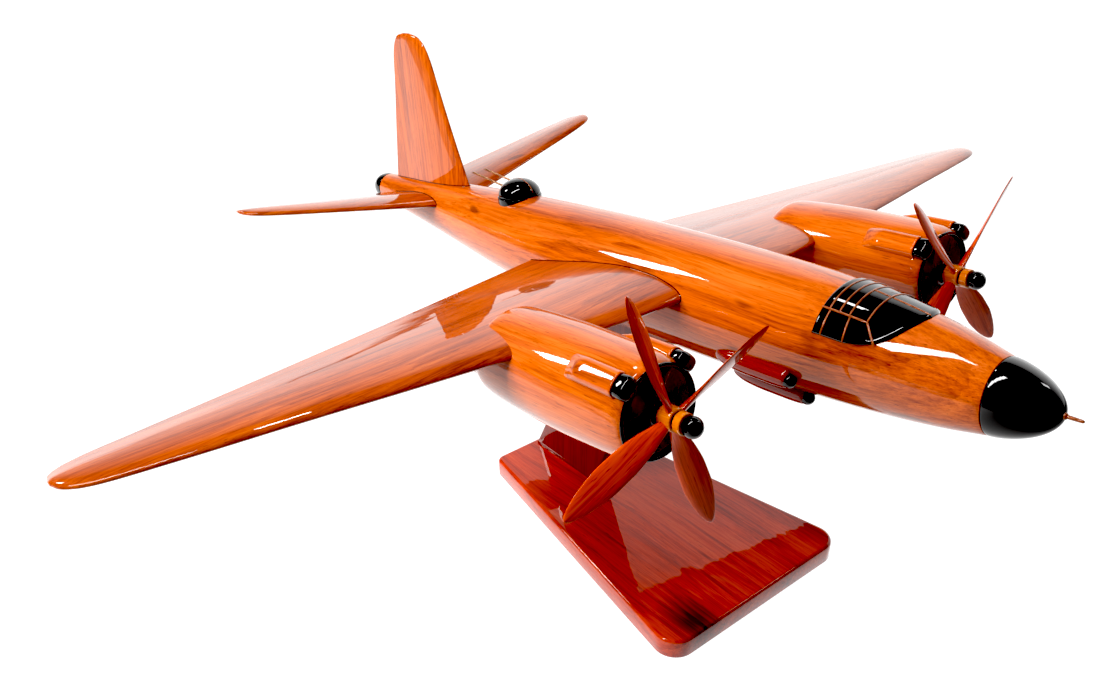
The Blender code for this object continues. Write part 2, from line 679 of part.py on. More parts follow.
def main():
    clear_scene()
    parts, cutters = make_collections()
    mats = make_materials()
    craft = aircraft_matrix()
    grown = build_fuselage(parts, cutters, mats, craft)
    nose, hole, place = build_nose(parts, mats, craft)
    cut_nose(nose, hole, place, cutters)
    build_tail_cap(parts, mats, craft)
    clearances = build_wings(parts, cutters, mats, craft, grown)
    build_tailplanes(parts, mats, craft, grown)
    build_fin(parts, mats, craft, grown)
    build_canopy(parts, cutters, mats, craft)
    build_turret(parts, cutters, mats, craft, grown)
    build_nacelles(parts, cutters, mats, craft, clearances)
    for label, side in (("starboard", -1), ("port", 1)):
        build_engine(parts, cutters, mats, craft, side, label)
        build_propeller(parts, cutters, mats, craft, side, label)
    build_pods(parts, mats, craft, grown)
    build_stand(parts, cutters, mats, craft, grown)
    bpy.context.view_layer.update()


main()
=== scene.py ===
"""Varnished mahogany desk model of a twin-engined propeller aircraft on its stand.

Shapes are drawn in millimetres, either in the aircraft's own level frame
(nose towards -Y, port towards +X) or in the stand's frame, and scaled by MM.
"""

import json
import math

import bmesh
import bpy
import numpy as np
from mathutils import Matrix, Vector


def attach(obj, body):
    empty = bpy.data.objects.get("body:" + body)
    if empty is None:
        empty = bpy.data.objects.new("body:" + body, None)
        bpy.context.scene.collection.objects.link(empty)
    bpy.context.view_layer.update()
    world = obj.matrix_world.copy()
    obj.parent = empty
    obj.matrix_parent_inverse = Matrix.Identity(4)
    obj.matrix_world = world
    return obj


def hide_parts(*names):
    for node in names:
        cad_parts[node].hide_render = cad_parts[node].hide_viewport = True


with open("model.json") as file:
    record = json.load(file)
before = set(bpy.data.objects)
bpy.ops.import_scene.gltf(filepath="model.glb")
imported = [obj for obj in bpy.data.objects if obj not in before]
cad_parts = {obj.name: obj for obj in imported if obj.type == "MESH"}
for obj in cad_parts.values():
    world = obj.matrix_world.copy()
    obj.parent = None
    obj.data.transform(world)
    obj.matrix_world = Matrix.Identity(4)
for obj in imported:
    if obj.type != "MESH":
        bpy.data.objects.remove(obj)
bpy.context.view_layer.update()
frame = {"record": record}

MM = 0.001
PITCH = 7.0
DATUM = (0.0, 0.65, 145.4)
CRAFT = Matrix.Translation(Vector(DATUM) * MM) @ Matrix.Rotation(math.radians(-PITCH), 4, "X")
STAND = Matrix.Identity(4)
SIDES = (("starboard", -1), ("port", 1))
BODY_OF = {n: b for b, nodes in frame["record"]["behaviour"]["bodies"].items() for n in nodes}

NOSE_Y = -178.0
TAIL_Y = 231.5
SPAN_HALF = 270.0
ENGINE_X = 89.0
ENGINE_Z = -2.8
COWL_Y = -98.8
PROP_Y = -105.2
SCOOP_Y = -94.8
DOWEL_Y = 6.0
BASE_T = 10.0
SEAM = 0.3

# fuselage stations: y, centre height, radius
STATIONS = (
    (-178.0, -4.2, 14.7), (-171.0, -3.8, 16.3), (-162.0, -3.3, 18.2),
    (-150.0, -2.7, 20.2), (-135.0, -2.0, 22.2), (-118.0, -1.3, 23.9),
    (-98.0, -0.8, 25.2), (-70.0, -0.5, 25.9), (-35.0, -0.2, 26.2),
    (0.0, 0.0, 26.1), (40.0, 0.3, 25.3), (75.0, 1.2, 23.6),
    (105.0, 2.4, 21.2), (135.0, 3.8, 18.2), (165.0, 5.2, 15.1),
    (195.0, 6.2, 12.0), (220.0, 6.9, 9.5), (231.5, 7.2, 8.4),
)
# wing: distance from the centreline, leading y, trailing y, leading z, trailing z, thickness
WING = (
    (10.0, -47.8, 59.3, 7.3, 2.5, 13.6), (16.0, -47.5, 58.5, 7.4, 2.6, 13.4),
    (40.0, -46.5, 54.5, 7.6, 2.9, 12.6), (88.0, -40.5, 46.5, 7.8, 3.6, 10.8),
    (140.0, -32.0, 37.5, 8.3, 4.8, 9.0), (190.0, -23.0, 29.0, 8.8, 6.0, 7.2),
    (235.0, -15.5, 21.5, 9.3, 7.2, 5.6), (256.0, -11.5, 17.5, 9.6, 7.9, 4.6),
    (264.0, -8.0, 14.5, 9.6, 8.2, 3.8), (268.5, -3.0, 10.5, 9.4, 8.5, 2.6),
    (269.7, 1.0, 6.5, 9.2, 8.8, 1.4),
)
WING_DROP = {-1: 1.8, 1: 8.5}
# tailplane: distance from the centreline, leading y, trailing y, thickness
TAILPLANE = (
    (3.0, 154.8, 209.3, 7.1), (30.0, 158.5, 204.5, 6.2), (70.0, 163.5, 198.5, 5.0),
    (104.0, 168.5, 193.0, 4.2), (114.0, 171.5, 190.5, 3.4), (118.5, 175.5, 187.5, 2.4),
    (119.7, 179.0, 184.5, 1.4),
)
TAILPLANE_RISE = {-1: 0.180, 1: 0.205}
# fin: height, leading y, trailing y, thickness
FIN = (
    (8.0, 136.0, 221.0, 9.2), (26.0, 144.0, 217.0, 8.0), (50.0, 153.0, 212.0, 6.8),
    (75.0, 161.5, 206.5, 5.6), (91.0, 167.0, 203.5, 4.8), (98.0, 171.5, 200.5, 4.0),
    (101.8, 177.5, 196.5, 3.0), (103.0, 183.5, 191.0, 1.6),
)
# nacelle: y, half width, height above the engine's axis, depth below it
NACELLE = (
    (-98.4, 18.5, 18.5, 18.5), (-97.6, 19.3, 19.3, 19.3), (-93.0, 20.6, 20.6, 20.7),
    (-76.0, 21.5, 21.3, 21.8), (-56.0, 21.9, 21.3, 22.4), (-38.0, 21.6, 20.7, 22.2),
    (-24.0, 21.2, 19.8, 21.4), (-15.0, 20.4, 18.8, 20.6), (-11.0, 19.2, 16.8, 20.0),
    (-8.8, 17.6, 12.5, 19.6), (-7.8, 16.6, 8.6, 19.3), (10.0, 14.2, 7.6, 16.0),
    (26.0, 10.8, 4.8, 11.6), (38.0, 6.8, 3.6, 8.0), (46.0, 2.6, 2.4, 3.0),
)
# airfoil: square root of the chord fraction, height above and depth below per unit thickness
FOIL_ABOVE = ((0.0, 0.0), (0.1414, 0.20), (0.2828, 0.38), (0.4472, 0.54), (0.6, 0.60),
              (0.7483, 0.50), (0.8944, 0.25), (1.0, 0.03))
FOIL_BELOW = ((0.0, 0.0), (0.1414, 0.14), (0.2828, 0.25), (0.4472, 0.36), (0.6, 0.39),
              (0.7483, 0.31), (0.8944, 0.14), (1.0, 0.03))
# blade: distance from the axis, chord, thickness, pitch in degrees
BLADE = (
    (3.6, 4.2, 3.0, 46), (9.0, 6.4, 2.5, 43), (16.0, 9.2, 2.1, 36), (25.0, 11.2, 1.8, 31),
    (34.0, 11.4, 1.6, 29), (42.5, 9.6, 1.3, 26), (49.5, 6.4, 1.0, 24), (53.6, 3.2, 0.8, 23),
    (54.8, 1.2, 0.5, 23),
)
BLADE_ANGLES = {"starboard": -19.0, "port": -40.0}
# canopy: degrees from the top, y of its front edge there
CANOPY_FRONT = ((0, -149.2), (15, -148.2), (34, -145.4), (48, -141.6), (56, -137.4), (61, -132.6),
                (64, -126.0))
CANOPY_BACK = -113.0
CANOPY_SIDE = 64.0      # degrees from the top to the canopy's side edge
CONE_RADIUS, CONE_LENGTH = 14.7, 22.0
CAP_RADIUS, CAP_LENGTH = 8.4, 13.0
BASE_FRONT, BASE_REAR, BASE_HALF = 61.5, 32.0, 85.15
SCREW_Y = {"front": 46.0, "rear": 70.0}


# ---------------------------------------------------------------- curves

def monotone(x, y, q):
    """Monotone cubic through rows y at positions x, read at positions q."""
    x, y, q = np.asarray(x, float), np.asarray(y, float), np.asarray(q, float)
    h = np.diff(x)
    d = np.diff(y, axis=0) / h[:, None]
    slope = np.zeros_like(y)
    a, b = d[:-1], d[1:]
    same = a * b > 0
    w1 = (2 * h[1:] + h[:-1])[:, None]
    w2 = (h[1:] + 2 * h[:-1])[:, None]
    safe_a, safe_b = np.where(same, a, 1.0), np.where(same, b, 1.0)
    slope[1:-1] = np.where(same, (w1 + w2) / (w1 / safe_a + w2 / safe_b), 0.0)
    slope[0], slope[-1] = d[0], d[-1]
    k = np.clip(np.searchsorted(x, q) - 1, 0, len(h) - 1)
    s = ((q - x[k]) / h[k])[:, None]
    hk = h[k][:, None]
    return ((1 + 2 * s) * (1 - s) ** 2 * y[k] + s * (1 - s) ** 2 * hk * slope[k]
            + s * s * (3 - 2 * s) * y[k + 1] + s * s * (s - 1) * hk * slope[k + 1])


def smooth_rows(table, count):
    """A table of numbers resampled to count rows, evenly along its own length."""
    rows = np.asarray(table, float)
    length = np.concatenate([[0], np.cumsum(np.linalg.norm(np.diff(rows, axis=0), axis=1))])
    return monotone(length, rows, np.linspace(0, length[-1], count))


def read(table, q):
    """Columns of a table read at values of its first column."""
    rows = np.asarray(table, float)
    return monotone(rows[:, 0], rows[:, 1:], np.atleast_1d(q))


def body_radius(y, grow=0.0):
    """Fuselage centre height and radius at y."""
    out = read(STATIONS, np.clip(y, NOSE_Y, TAIL_Y))
    return out[..., 0], out[..., 1] + grow


def rounded(points, radius, steps=4):
    """Polyline with every inner corner eased over a distance."""
    pts = [np.array(p, float) for p in points]
    out = [pts[0]]
    for before, here, after in zip(pts, pts[1:], pts[2:]):
        a, b = before - here, after - here
        la, lb = np.linalg.norm(a), np.linalg.norm(b)
        cut = min(radius, 0.45 * la, 0.45 * lb)
        start, stop = here + a / la * cut, here + b / lb * cut
        for i in range(steps + 1):
            t = i / steps
            out.append(start * (1 - t) ** 2 + here * 2 * t * (1 - t) + stop * t * t)
    out.append(pts[-1])
    return np.array(out)


# ---------------------------------------------------------------- meshes

def loft(rings, wrap=True, caps=True):
    """Skin through rings of equal point count. Returns points and faces."""
    rings = np.asarray(rings, float)
    n, m = rings.shape[:2]
    points = [rings.reshape(-1, 3)]
    faces = []
    for i in range(n - 1):
        for j in range(m if wrap else m - 1):
            k = (j + 1) % m
            faces.append((i * m + j, i * m + k, (i + 1) * m + k, (i + 1) * m + j))
    if caps:
        for row, flip in ((0, False), (n - 1, True)):
            centre = n * m + (1 if flip else 0)
            points.append(rings[row].mean(0)[None])
            for j in range(m):
                k = (j + 1) % m
                faces.append((row * m + k, row * m + j, centre) if not flip
                             else (row * m + j, row * m + k, centre))
    return np.concatenate(points), faces


def turned(profile, steps=64):
    """Half profile of (radius, height) turned about the local +Z axis, open ends closed by fans."""
    angles = np.arange(steps) * 2 * math.pi / steps
    rings = [np.stack([max(r, 1e-4) * np.cos(angles), max(r, 1e-4) * np.sin(angles), np.full(steps, h)], 1)
             for r, h in profile]
    return loft(rings)


def ring_turned(profile, steps=64):
    """Closed profile of (radius, height) turned about the local +Z axis."""
    angles = np.arange(steps) * 2 * math.pi / steps
    rings = [np.stack([profile[:, 0] * math.cos(a), profile[:, 0] * math.sin(a), profile[:, 1]], 1)
             for a in angles]
    rings.append(rings[0])
    return loft(rings, caps=False)


def sweep(path, normals, half_width, half_height, closed=False, sides=12, taper=True):
    """Flattened tube along a path; normals give the direction of its height."""
    path, normals = np.asarray(path, float), np.asarray(normals, float)
    if closed:
        along = np.roll(path, -1, 0) - np.roll(path, 1, 0)
    else:
        along = np.gradient(path, axis=0)
    along /= np.linalg.norm(along, axis=1)[:, None]
    across = np.cross(normals, along)
    across /= np.linalg.norm(across, axis=1)[:, None]
    t = np.arange(sides) * 2 * math.pi / sides
    size = np.ones(len(path))
    if not closed and taper:
        size[0] = size[-1] = 0.35
    rings = [p + size[i] * (np.outer(np.cos(t), s) * half_width + np.outer(np.sin(t), n) * half_height)
             for i, (p, s, n) in enumerate(zip(path, across, normals))]
    if closed:
        rings.append(rings[0])
        return loft(rings, caps=False)
    return loft(rings)


def moved(shape, matrix):
    """Shape taken through a matrix whose translation is in millimetres."""
    points, faces = shape
    m = np.array(matrix, float)
    return points @ m[:3, :3].T + m[:3, 3], faces


def merged(shapes):
    """Several shapes as one."""
    points, faces, count = [], [], 0
    for p, f in shapes:
        points.append(p)
        faces += [tuple(i + count for i in face) for face in f]
        count += len(p)
    return np.concatenate(points), faces


def make_mesh(name, shape, sharp=38.0):
    """Mesh in metres, smooth except where faces meet at more than sharp degrees."""
    points, faces = shape
    mesh = bpy.data.meshes.new(name)
    mesh.from_pydata((np.asarray(points) * MM).tolist(), [], faces)
    bm = bmesh.new()
    bm.from_mesh(mesh)
    bmesh.ops.remove_doubles(bm, verts=bm.verts, dist=2e-6)
    bmesh.ops.recalc_face_normals(bm, faces=bm.faces)
    bm.to_mesh(mesh)
    bm.free()
    mesh.shade_smooth()
    mesh.set_sharp_from_angle(angle=math.radians(sharp))
    return mesh


def piece(node, shape, material, place=CRAFT, name=None, sharp=38.0, stands_for=True, cut=()):
    """One visible piece, riding with the body of its CAD node."""
    name = name or node + "_wood"
    obj = bpy.data.objects.new(name, make_mesh(name, shape, sharp))
    bpy.context.scene.collection.objects.link(obj)
    obj.matrix_world = place
    for cutter in cut:
        carve(obj, cutter, sharp)
    obj.data.materials.clear()
    obj.data.materials.append(material)
    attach(obj, BODY_OF[node])
    if stands_for:
        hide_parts(node)
    return obj


def carve(obj, cutter, sharp):
    """Takes a closed shape, given in the piece's own frame, out of a piece."""
    tool = bpy.data.objects.new("cutter", make_mesh("cutter", cutter))
    bpy.context.scene.collection.objects.link(tool)
    tool.matrix_world = obj.matrix_world
    mod = obj.modifiers.new("cut", "BOOLEAN")
    mod.operation = "DIFFERENCE"
    mod.solver = "EXACT"
    mod.object = tool
    bpy.context.view_layer.update()
    result = bpy.data.meshes.new_from_object(obj.evaluated_get(bpy.context.evaluated_depsgraph_get()))
    obj.modifiers.clear()
    obj.data = result
    result.shade_smooth()
    result.set_sharp_from_angle(angle=math.radians(sharp))
    bpy.data.objects.remove(tool)


def shift(x, y, z):
    return Matrix.Translation((x, y, z))


def ahead(x, y, z):
    """Frame at a point of the aircraft whose +Z looks towards the nose."""
    return shift(x, y, z) @ Matrix.Rotation(math.radians(90), 4, "X")


# ---------------------------------------------------------------- materials

class Nodes:
    """Short way of adding and joining shader nodes."""

    def __init__(self, name):
        self.mat = bpy.data.materials.new(name)
        self.mat.use_nodes = True
        self.tree = self.mat.node_tree
        self.shader = self.tree.nodes["Principled BSDF"]

    def add(self, kind, inputs=None, **settings):
        node = self.tree.nodes.new("ShaderNode" + kind)
        for key, value in settings.items():
            setattr(node, key, value)
        for key, value in (inputs or {}).items():
            self.put(node.inputs[key], value)
        return node

    def put(self, socket, value):
        if isinstance(value, bpy.types.NodeSocket):
            self.tree.links.new(value, socket)
        else:
            socket.default_value = value

    def set(self, **values):
        for key, value in values.items():
            self.put(self.shader.inputs[key.replace("_", " ")], value)

    def noise(self, vector, scale, detail=2.0, rough=0.5, distortion=0.0):
        return self.add("TexNoise", {"Vector": vector, "Scale": scale, "Detail": detail,
                                     "Roughness": rough, "Distortion": distortion}).outputs["Fac"]

    def ramp(self, factor, stops, interpolation="LINEAR"):
        node = self.add("ValToRGB", {"Fac": factor})
        band = node.color_ramp
        band.interpolation = interpolation
        while len(band.elements) < len(stops):
            band.elements.new(0.5)
        for element, (place, color) in zip(band.elements, stops):
            element.position = place
            element.color = (*color, 1.0) if len(color) == 3 else color
        return node.outputs["Color"]

    def levels(self, factor, low, high, to_low=0.0, to_high=1.0):
        return self.add("MapRange", {"Value": factor, "From Min": low, "From Max": high,
                                     "To Min": to_low, "To Max": to_high}).outputs["Result"]

    def math(self, operation, a, b=0.0, c=0.0):
        return self.add("Math", {0: a, 1: b, 2: c}, operation=operation).outputs[0]

    def mix(self, factor, a, b, blend="MIX"):
        node = self.add("Mix", data_type="RGBA", blend_type=blend)
        sockets = [s for s in node.inputs if s.enabled]
        self.put(sockets[0], factor)
        self.put(sockets[1], a)
        self.put(sockets[2], b)
        return [s for s in node.outputs if s.enabled][0]

    def stretch(self, vector, scale, offset=(0, 0, 0)):
        return self.add("Mapping", {"Vector": vector, "Scale": scale, "Location": offset}).outputs[0]


def lacquered_wood(name, axis, dark, middle, light, pith=(0.09, 0.06), seed=0.0, figure=1.0,
                   wave=0.010, coat_rough=0.015, dark_reflection_patches=()):
    """Solid mahogany under clear gloss lacquer. axis is the local axis that the grain runs along.
    The last argument lists the centre and the half sizes of dark patches painted into the colour as dark
    reflections, in metres."""
    n = Nodes(name)
    coords = n.add("TexCoord").outputs["Object"]
    turn = {"X": (0, 0, 0), "Y": (0, 0, -math.pi / 2), "Z": (0, math.pi / 2, 0)}[axis]
    lined = n.add("Mapping", {"Vector": coords, "Rotation": turn, "Location": (seed, *pith)}).outputs[0]
    chance = n.add("ObjectInfo").outputs["Random"]
    jog = n.add("CombineXYZ", {0: chance, 1: n.math("MULTIPLY", chance, 0.031), 2: 0.0}).outputs[0]
    along = n.add("VectorMath", {0: lined, 1: jog}, operation="ADD").outputs[0]

    # slow wander of the fibres, so that no line is straight
    drift = n.add("TexNoise", {"Vector": n.stretch(along, (7.0, 26.0, 26.0)), "Scale": 1.0, "Detail": 2.0})
    centred = n.add("VectorMath", {0: drift.outputs["Color"], 1: (0.5, 0.5, 0.5)},
                    operation="SUBTRACT").outputs[0]
    bent = n.add("VectorMath", {0: centred, 1: (0.0, 0.012, 0.012), 2: along},
                 operation="MULTIPLY_ADD").outputs[0]

    rings = n.add("TexWave", {"Vector": n.stretch(bent, (0.10, 1.0, 1.0)), "Scale": 46.0, "Distortion": 5.0,
                              "Detail": 3.0, "Detail Scale": 1.6, "Detail Roughness": 0.55},
                  wave_type="RINGS", rings_direction="X", wave_profile="SAW").outputs["Fac"]
    ribbon = n.noise(n.stretch(bent, (5.0, 62.0, 62.0)), 1.0, 3.0, 0.55, 0.6)
    streak = n.noise(n.stretch(bent, (14.0, 620.0, 620.0)), 1.0, 3.0, 0.6)
    fine = n.noise(n.stretch(bent, (60.0, 2300.0, 2300.0)), 1.0, 2.0, 0.6)
    pore = n.noise(n.stretch(bent, (150.0, 3000.0, 3000.0)), 1.0, 1.0, 0.4)
    pores = n.levels(pore, 0.66, 0.74)
    cloud = n.noise(along, 14.0, 2.0, 0.5)

    tone = n.math("MULTIPLY_ADD", rings, 0.12 * figure, 0.46 - 0.06 * figure)
    layers = ((ribbon, 0.55 * figure), (streak, 0.75), (fine, 0.45), (cloud, 0.30), (chance, 0.05))
    for layer, share in layers:
        tone = n.math("MULTIPLY_ADD", layer, share, n.math("SUBTRACT", tone, 0.5 * share))
    color = n.ramp(tone, ((0.10, dark), (0.48, middle), (0.95, light)))
    color = n.mix(n.math("MULTIPLY", pores, 0.55), color, (*[0.35 * c for c in dark], 1.0))
    flaws = n.levels(n.noise(n.stretch(along, (30.0, 120.0, 120.0), (3.1, 1.7, 0.4)), 1.0, 1.0), 0.74, 0.80)
    color = n.mix(n.math("MULTIPLY", flaws, 0.6), color, (*[0.5 * c for c in dark], 1.0))
    # dark patches painted at fixed places on the piece: painted reflections, not marks in the wood
    for centre, half in dark_reflection_patches:
        away = n.add("VectorMath", {0: coords, 1: centre}, operation="SUBTRACT").outputs[0]
        reach = n.add("VectorMath", {0: away, 1: half}, operation="DIVIDE").outputs[0]
        edge = n.math("ADD", n.add("VectorMath", {0: reach}, operation="LENGTH").outputs["Value"], streak)
        color = n.mix(n.levels(edge, 0.75, 1.85, 0.95, 0.0), color, (*[0.15 * c for c in dark], 1.0))
    worn = n.levels(n.add("NewGeometry").outputs["Pointiness"], 0.54, 0.66, 0.0, 0.35)
    color = n.mix(worn, color, (*light, 1.0))

    rough = n.math("MULTIPLY_ADD", streak, 0.22, 0.30)
    grain = n.add("Bump", {"Strength": 0.10, "Distance": 0.0002,
                           "Height": n.math("SUBTRACT", streak, n.math("MULTIPLY", pores, 0.8))})
    ripple = n.math("ADD", n.noise(n.stretch(along, (38.0, 95.0, 95.0)), 1.0, 2.0, 0.45),
                    n.math("MULTIPLY", n.noise(along, 900.0, 1.0), 0.012))
    flow = n.add("Bump", {"Strength": 1.0, "Distance": wave * MM * 10, "Height": ripple})
    n.set(Base_Color=color, Roughness=rough, Normal=grain.outputs[0], Coat_Normal=flow.outputs[0])
    n.set(Specular_IOR_Level=0.06, Coat_Weight=1.0, Coat_Roughness=coat_rough, Coat_IOR=1.52)
    return n.mat


def black_lacquer(name, color=(0.004, 0.0035, 0.0035)):
    """Near-black paint under clear gloss lacquer, with faint dust specks."""
    n = Nodes(name)
    coords = n.add("TexCoord").outputs["Object"]
    patch = n.noise(coords, 60.0, 3.0, 0.6)
    tint = n.ramp(patch, ((0.35, color), (0.75, tuple(2.4 * c + 0.001 for c in color))))
    specks = n.levels(n.noise(coords, 2600.0, 1.0), 0.80, 0.84)
    tint = n.mix(n.math("MULTIPLY", specks, 0.3), tint, (0.08, 0.05, 0.04, 1.0))
    orange_peel = n.math("ADD", n.noise(coords, 90.0, 2.0),
                         n.math("MULTIPLY", n.noise(coords, 900.0, 1.0), 0.05))
    flow = n.add("Bump", {"Strength": 1.0, "Distance": 0.00006, "Height": orange_peel})
    n.set(Base_Color=tint, Roughness=n.levels(patch, 0.3, 0.7, 0.18, 0.32), Coat_Normal=flow.outputs[0])
    n.set(Specular_IOR_Level=0.05, Coat_Weight=1.0, Coat_Roughness=0.02, Coat_IOR=1.5)
    return n.mat


def soft_metal(name, dark, light, rough=(0.25, 0.42), metallic=1.0, lines=(300.0, 2600.0, 2600.0), coat=0.0):
    """Metal or metallic paint with patchy colour, brushed lines and paler edges."""
    n = Nodes(name)
    coords = n.add("TexCoord").outputs["Object"]
    patch = n.noise(coords, 420.0, 3.0, 0.6)
    brushed = n.noise(n.stretch(coords, lines), 1.0, 2.0)
    worn = n.levels(n.add("NewGeometry").outputs["Pointiness"], 0.52, 0.62, 0.0, 0.5)
    tint = n.mix(worn, n.ramp(patch, ((0.30, dark), (0.72, light))), (*light, 1.0))
    bump = n.add("Bump", {"Strength": 0.25, "Distance": 0.00004, "Height": brushed})
    n.set(Base_Color=tint, Roughness=n.levels(brushed, 0.3, 0.7, *rough), Normal=bump.outputs[0])
    n.set(Metallic=metallic, Coat_Weight=coat, Coat_Roughness=0.05)
    return n.mat


AMBER_DARK, AMBER, AMBER_LIGHT = (0.15, 0.018, 0.007), (0.51, 0.102, 0.018), (0.73, 0.200, 0.040)
WOOD_Y = lacquered_wood("mahogany_lengthwise", "Y", AMBER_DARK, AMBER, AMBER_LIGHT)
WOOD_X = lacquered_wood("mahogany_spanwise", "X", (0.12, 0.014, 0.005), (0.41, 0.076, 0.014),
                        (0.62, 0.160, 0.030), pith=(0.02, 0.11), seed=1.7)
WOOD_Z = lacquered_wood("mahogany_upright_grain", "Z", AMBER_DARK, AMBER, AMBER_LIGHT,
                        pith=(0.02, 0.21), seed=2.9)
# The stand's wood carries one dark patch near its front left: a painted dark reflection in the lacquer.
WOOD_BASE = lacquered_wood("mahogany_stand", "Y", (0.130, 0.010, 0.005), (0.460, 0.040, 0.010),
                           (0.640, 0.100, 0.024), pith=(0.05, 0.12), seed=4.1, figure=1.2,
                           dark_reflection_patches=(((-0.040, -0.078, 0.012), (0.012, 0.016, 0.020)),))
WOOD_BLADE = lacquered_wood("mahogany_blade", "Z", (0.24, 0.016, 0.006), (0.66, 0.075, 0.018),
                            (0.84, 0.180, 0.045), pith=(0.01, 0.04), seed=5.3, figure=0.7)
# Gun pods: darker than the other wood. This is partly the wood's own tone and partly painted shade, standing
# in for the shadow that the near wing and nacelle cast low on the fuselage's side.
WOOD_POD_SHADED = lacquered_wood("mahogany_pod_shaded", "Y", (0.10, 0.006, 0.003), (0.32, 0.026, 0.008),
                          (0.46, 0.070, 0.018), pith=(0.03, 0.02), seed=9.6)
WOOD_HUB = lacquered_wood("mahogany_hub", "Z", (0.22, 0.030, 0.004), (0.55, 0.130, 0.014),
                          (0.80, 0.300, 0.050), pith=(0.003, 0.004), seed=6.2)
WOOD_POST = lacquered_wood("mahogany_post", "Z", (0.040, 0.003, 0.002), (0.150, 0.010, 0.004),
                           (0.25, 0.030, 0.010), pith=(0.05, 0.09), seed=8.4)
BLACK = black_lacquer("black_lacquer")
MAROON = black_lacquer("engine_black", (0.045, 0.008, 0.008))
COPPER = soft_metal("copper_paint", (0.17, 0.040, 0.012), (0.34, 0.095, 0.030), (0.30, 0.50), 0.35, coat=0.5)
BRASS = soft_metal("brass_wire", (0.34, 0.15, 0.07), (0.62, 0.33, 0.17), (0.22, 0.38))
STEEL = soft_metal("bright_steel", (0.42, 0.40, 0.38), (0.66, 0.64, 0.61), (0.20, 0.36))
SEAM_DARK = lacquered_wood("glue_seam", "Y", (0.020, 0.002, 0.001), (0.060, 0.006, 0.002),
                           (0.12, 0.016, 0.004), seed=7.7)


# ---------------------------------------------------------------- fuselage

def circles(rows, sides=128):
    """Round rings for rows of (y, centre height, radius)."""
    t = np.arange(sides) * 2 * math.pi / sides
    return [np.stack([r * np.sin(t), np.full(sides, y), z + r * np.cos(t)], 1) for y, z, r in rows]


def build_fuselage():
    rows = smooth_rows(STATIONS, 210)
    first, last = rows[0], rows[-1]
    eased = [(first[0], first[1], first[2] - 0.5), (first[0] + 0.08, first[1], first[2] - 0.12)]
    rows[0, 0] += 0.35
    rows[-1, 0] -= 0.35
    end = [(last[0] - 0.08, last[1], last[2] - 0.12), (last[0], last[1], last[2] - 0.5)]
    skin = loft(circles(eased + [tuple(r) for r in rows] + end))
    bore = moved(turned(((2.7, -20.0), (2.7, 13.0)), 48), shift(0, DOWEL_Y, -26.0))
    piece("fuselage", skin, WOOD_Y, cut=[bore])


def build_nose_and_tail():
    f = 1.0 - np.linspace(0, 1, 40) ** 1.6
    dome = [(CONE_RADIUS * math.sqrt(max(0.0, 1 - v ** 1.5)), CONE_LENGTH * v) for v in f]
    outline = rounded(dome + [(0.9, 0.0)], 0.25)
    place = CRAFT @ scaled(ahead(0, NOSE_Y - SEAM, -4.2))
    piece("nose_cone", turned(outline, 112), BLACK, place, "nose_cone_lacquer")
    pin = rounded(((0.0, 6.6), (0.35, 6.55), (0.62, 5.9), (0.70, 3.0), (0.72, 0.9), (1.15, 0.6), (1.25, 0.1),
                   (1.25, -0.5), (0.0, -0.6)), 0.18)
    place = CRAFT @ scaled(ahead(0, NOSE_Y - SEAM - CONE_LENGTH, -4.2))
    piece("nose_pin", turned(pin, 32), COPPER, place, "nose_pin_copper")
    f = 1.0 - np.linspace(0, 1, 30) ** 1.5
    dome = [(CAP_RADIUS * math.sqrt(max(0.0, 1 - v ** 2.4)), CAP_LENGTH * v) for v in f]
    outline = rounded(dome + [(0.5, 0.0)], 0.2)
    place = CRAFT @ scaled(shift(0, TAIL_Y + SEAM, 7.2) @ Matrix.Rotation(math.radians(-90), 4, "X"))
    piece("tail_cap", turned(outline, 72), BLACK, place, "tail_cap_lacquer")


def scaled(matrix):
    """Placement written in millimetres as one in metres."""
    out = matrix.copy()
    out.translation = out.translation * MM
    return out


# ---------------------------------------------------------------- wings and tail

def foil_points():
    """Airfoil outline as (chord fraction, height per thickness), from the trailing edge over the top."""
    s = 0.5 - 0.5 * np.cos(np.linspace(0, 1, 30) * math.pi)
    above = read(FOIL_ABOVE, s)[:, 0]
    below = -read(FOIL_BELOW, s)[:, 0]
    top = np.stack([s ** 2, above], 1)[::-1]
    bottom = np.stack([s ** 2, below], 1)[1:]
    return np.concatenate([top, bottom, [[1.0015, -0.012], [1.0015, 0.012]]])


def surface_rings(stations, place_at, inside, count):
    """Rings from the joint with the fuselage to a closed rounded tip."""
    foil = foil_points()
    fine = smooth_rows(stations, 400)
    lines = np.stack([place_at(row, foil) for row in fine])          # span, foil, xyz
    out = []
    for k in range(len(foil)):
        line = lines[:, k]
        deep = inside(line)
        first = int(np.argmax(deep > 0))
        if first > 0:
            f = deep[first - 1] / (deep[first - 1] - deep[first])
            start = line[first - 1] + f * (line[first] - line[first - 1])
            line = np.vstack([start, line[first:]])
        length = np.concatenate([[0], np.cumsum(np.linalg.norm(np.diff(line, axis=0), axis=1))])
        u = np.linspace(0, 1, count)
        u = 0.55 * u + 0.45 * (1 - (1 - u) ** 2)
        out.append(np.stack([np.interp(u * length[-1], length, line[:, c]) for c in range(3)], 1))
    rings = np.stack(out, 1)
    tip, before = rings[-1], rings[-2]
    centre = tip.mean(0)
    push = (centre - before.mean(0))
    push = push / np.linalg.norm(push) * 0.3
    domed = [centre + (tip - centre) * math.cos(a) + push * math.sin(a)
             for a in np.radians((25, 50, 70, 85))]
    return np.concatenate([rings, domed])


def outside_body(points):
    """How far points of the aircraft lie outside the fuselage's skin."""
    zc, r = body_radius(points[:, 1], 0.05)
    return np.hypot(points[:, 0], points[:, 2] - zc) - r


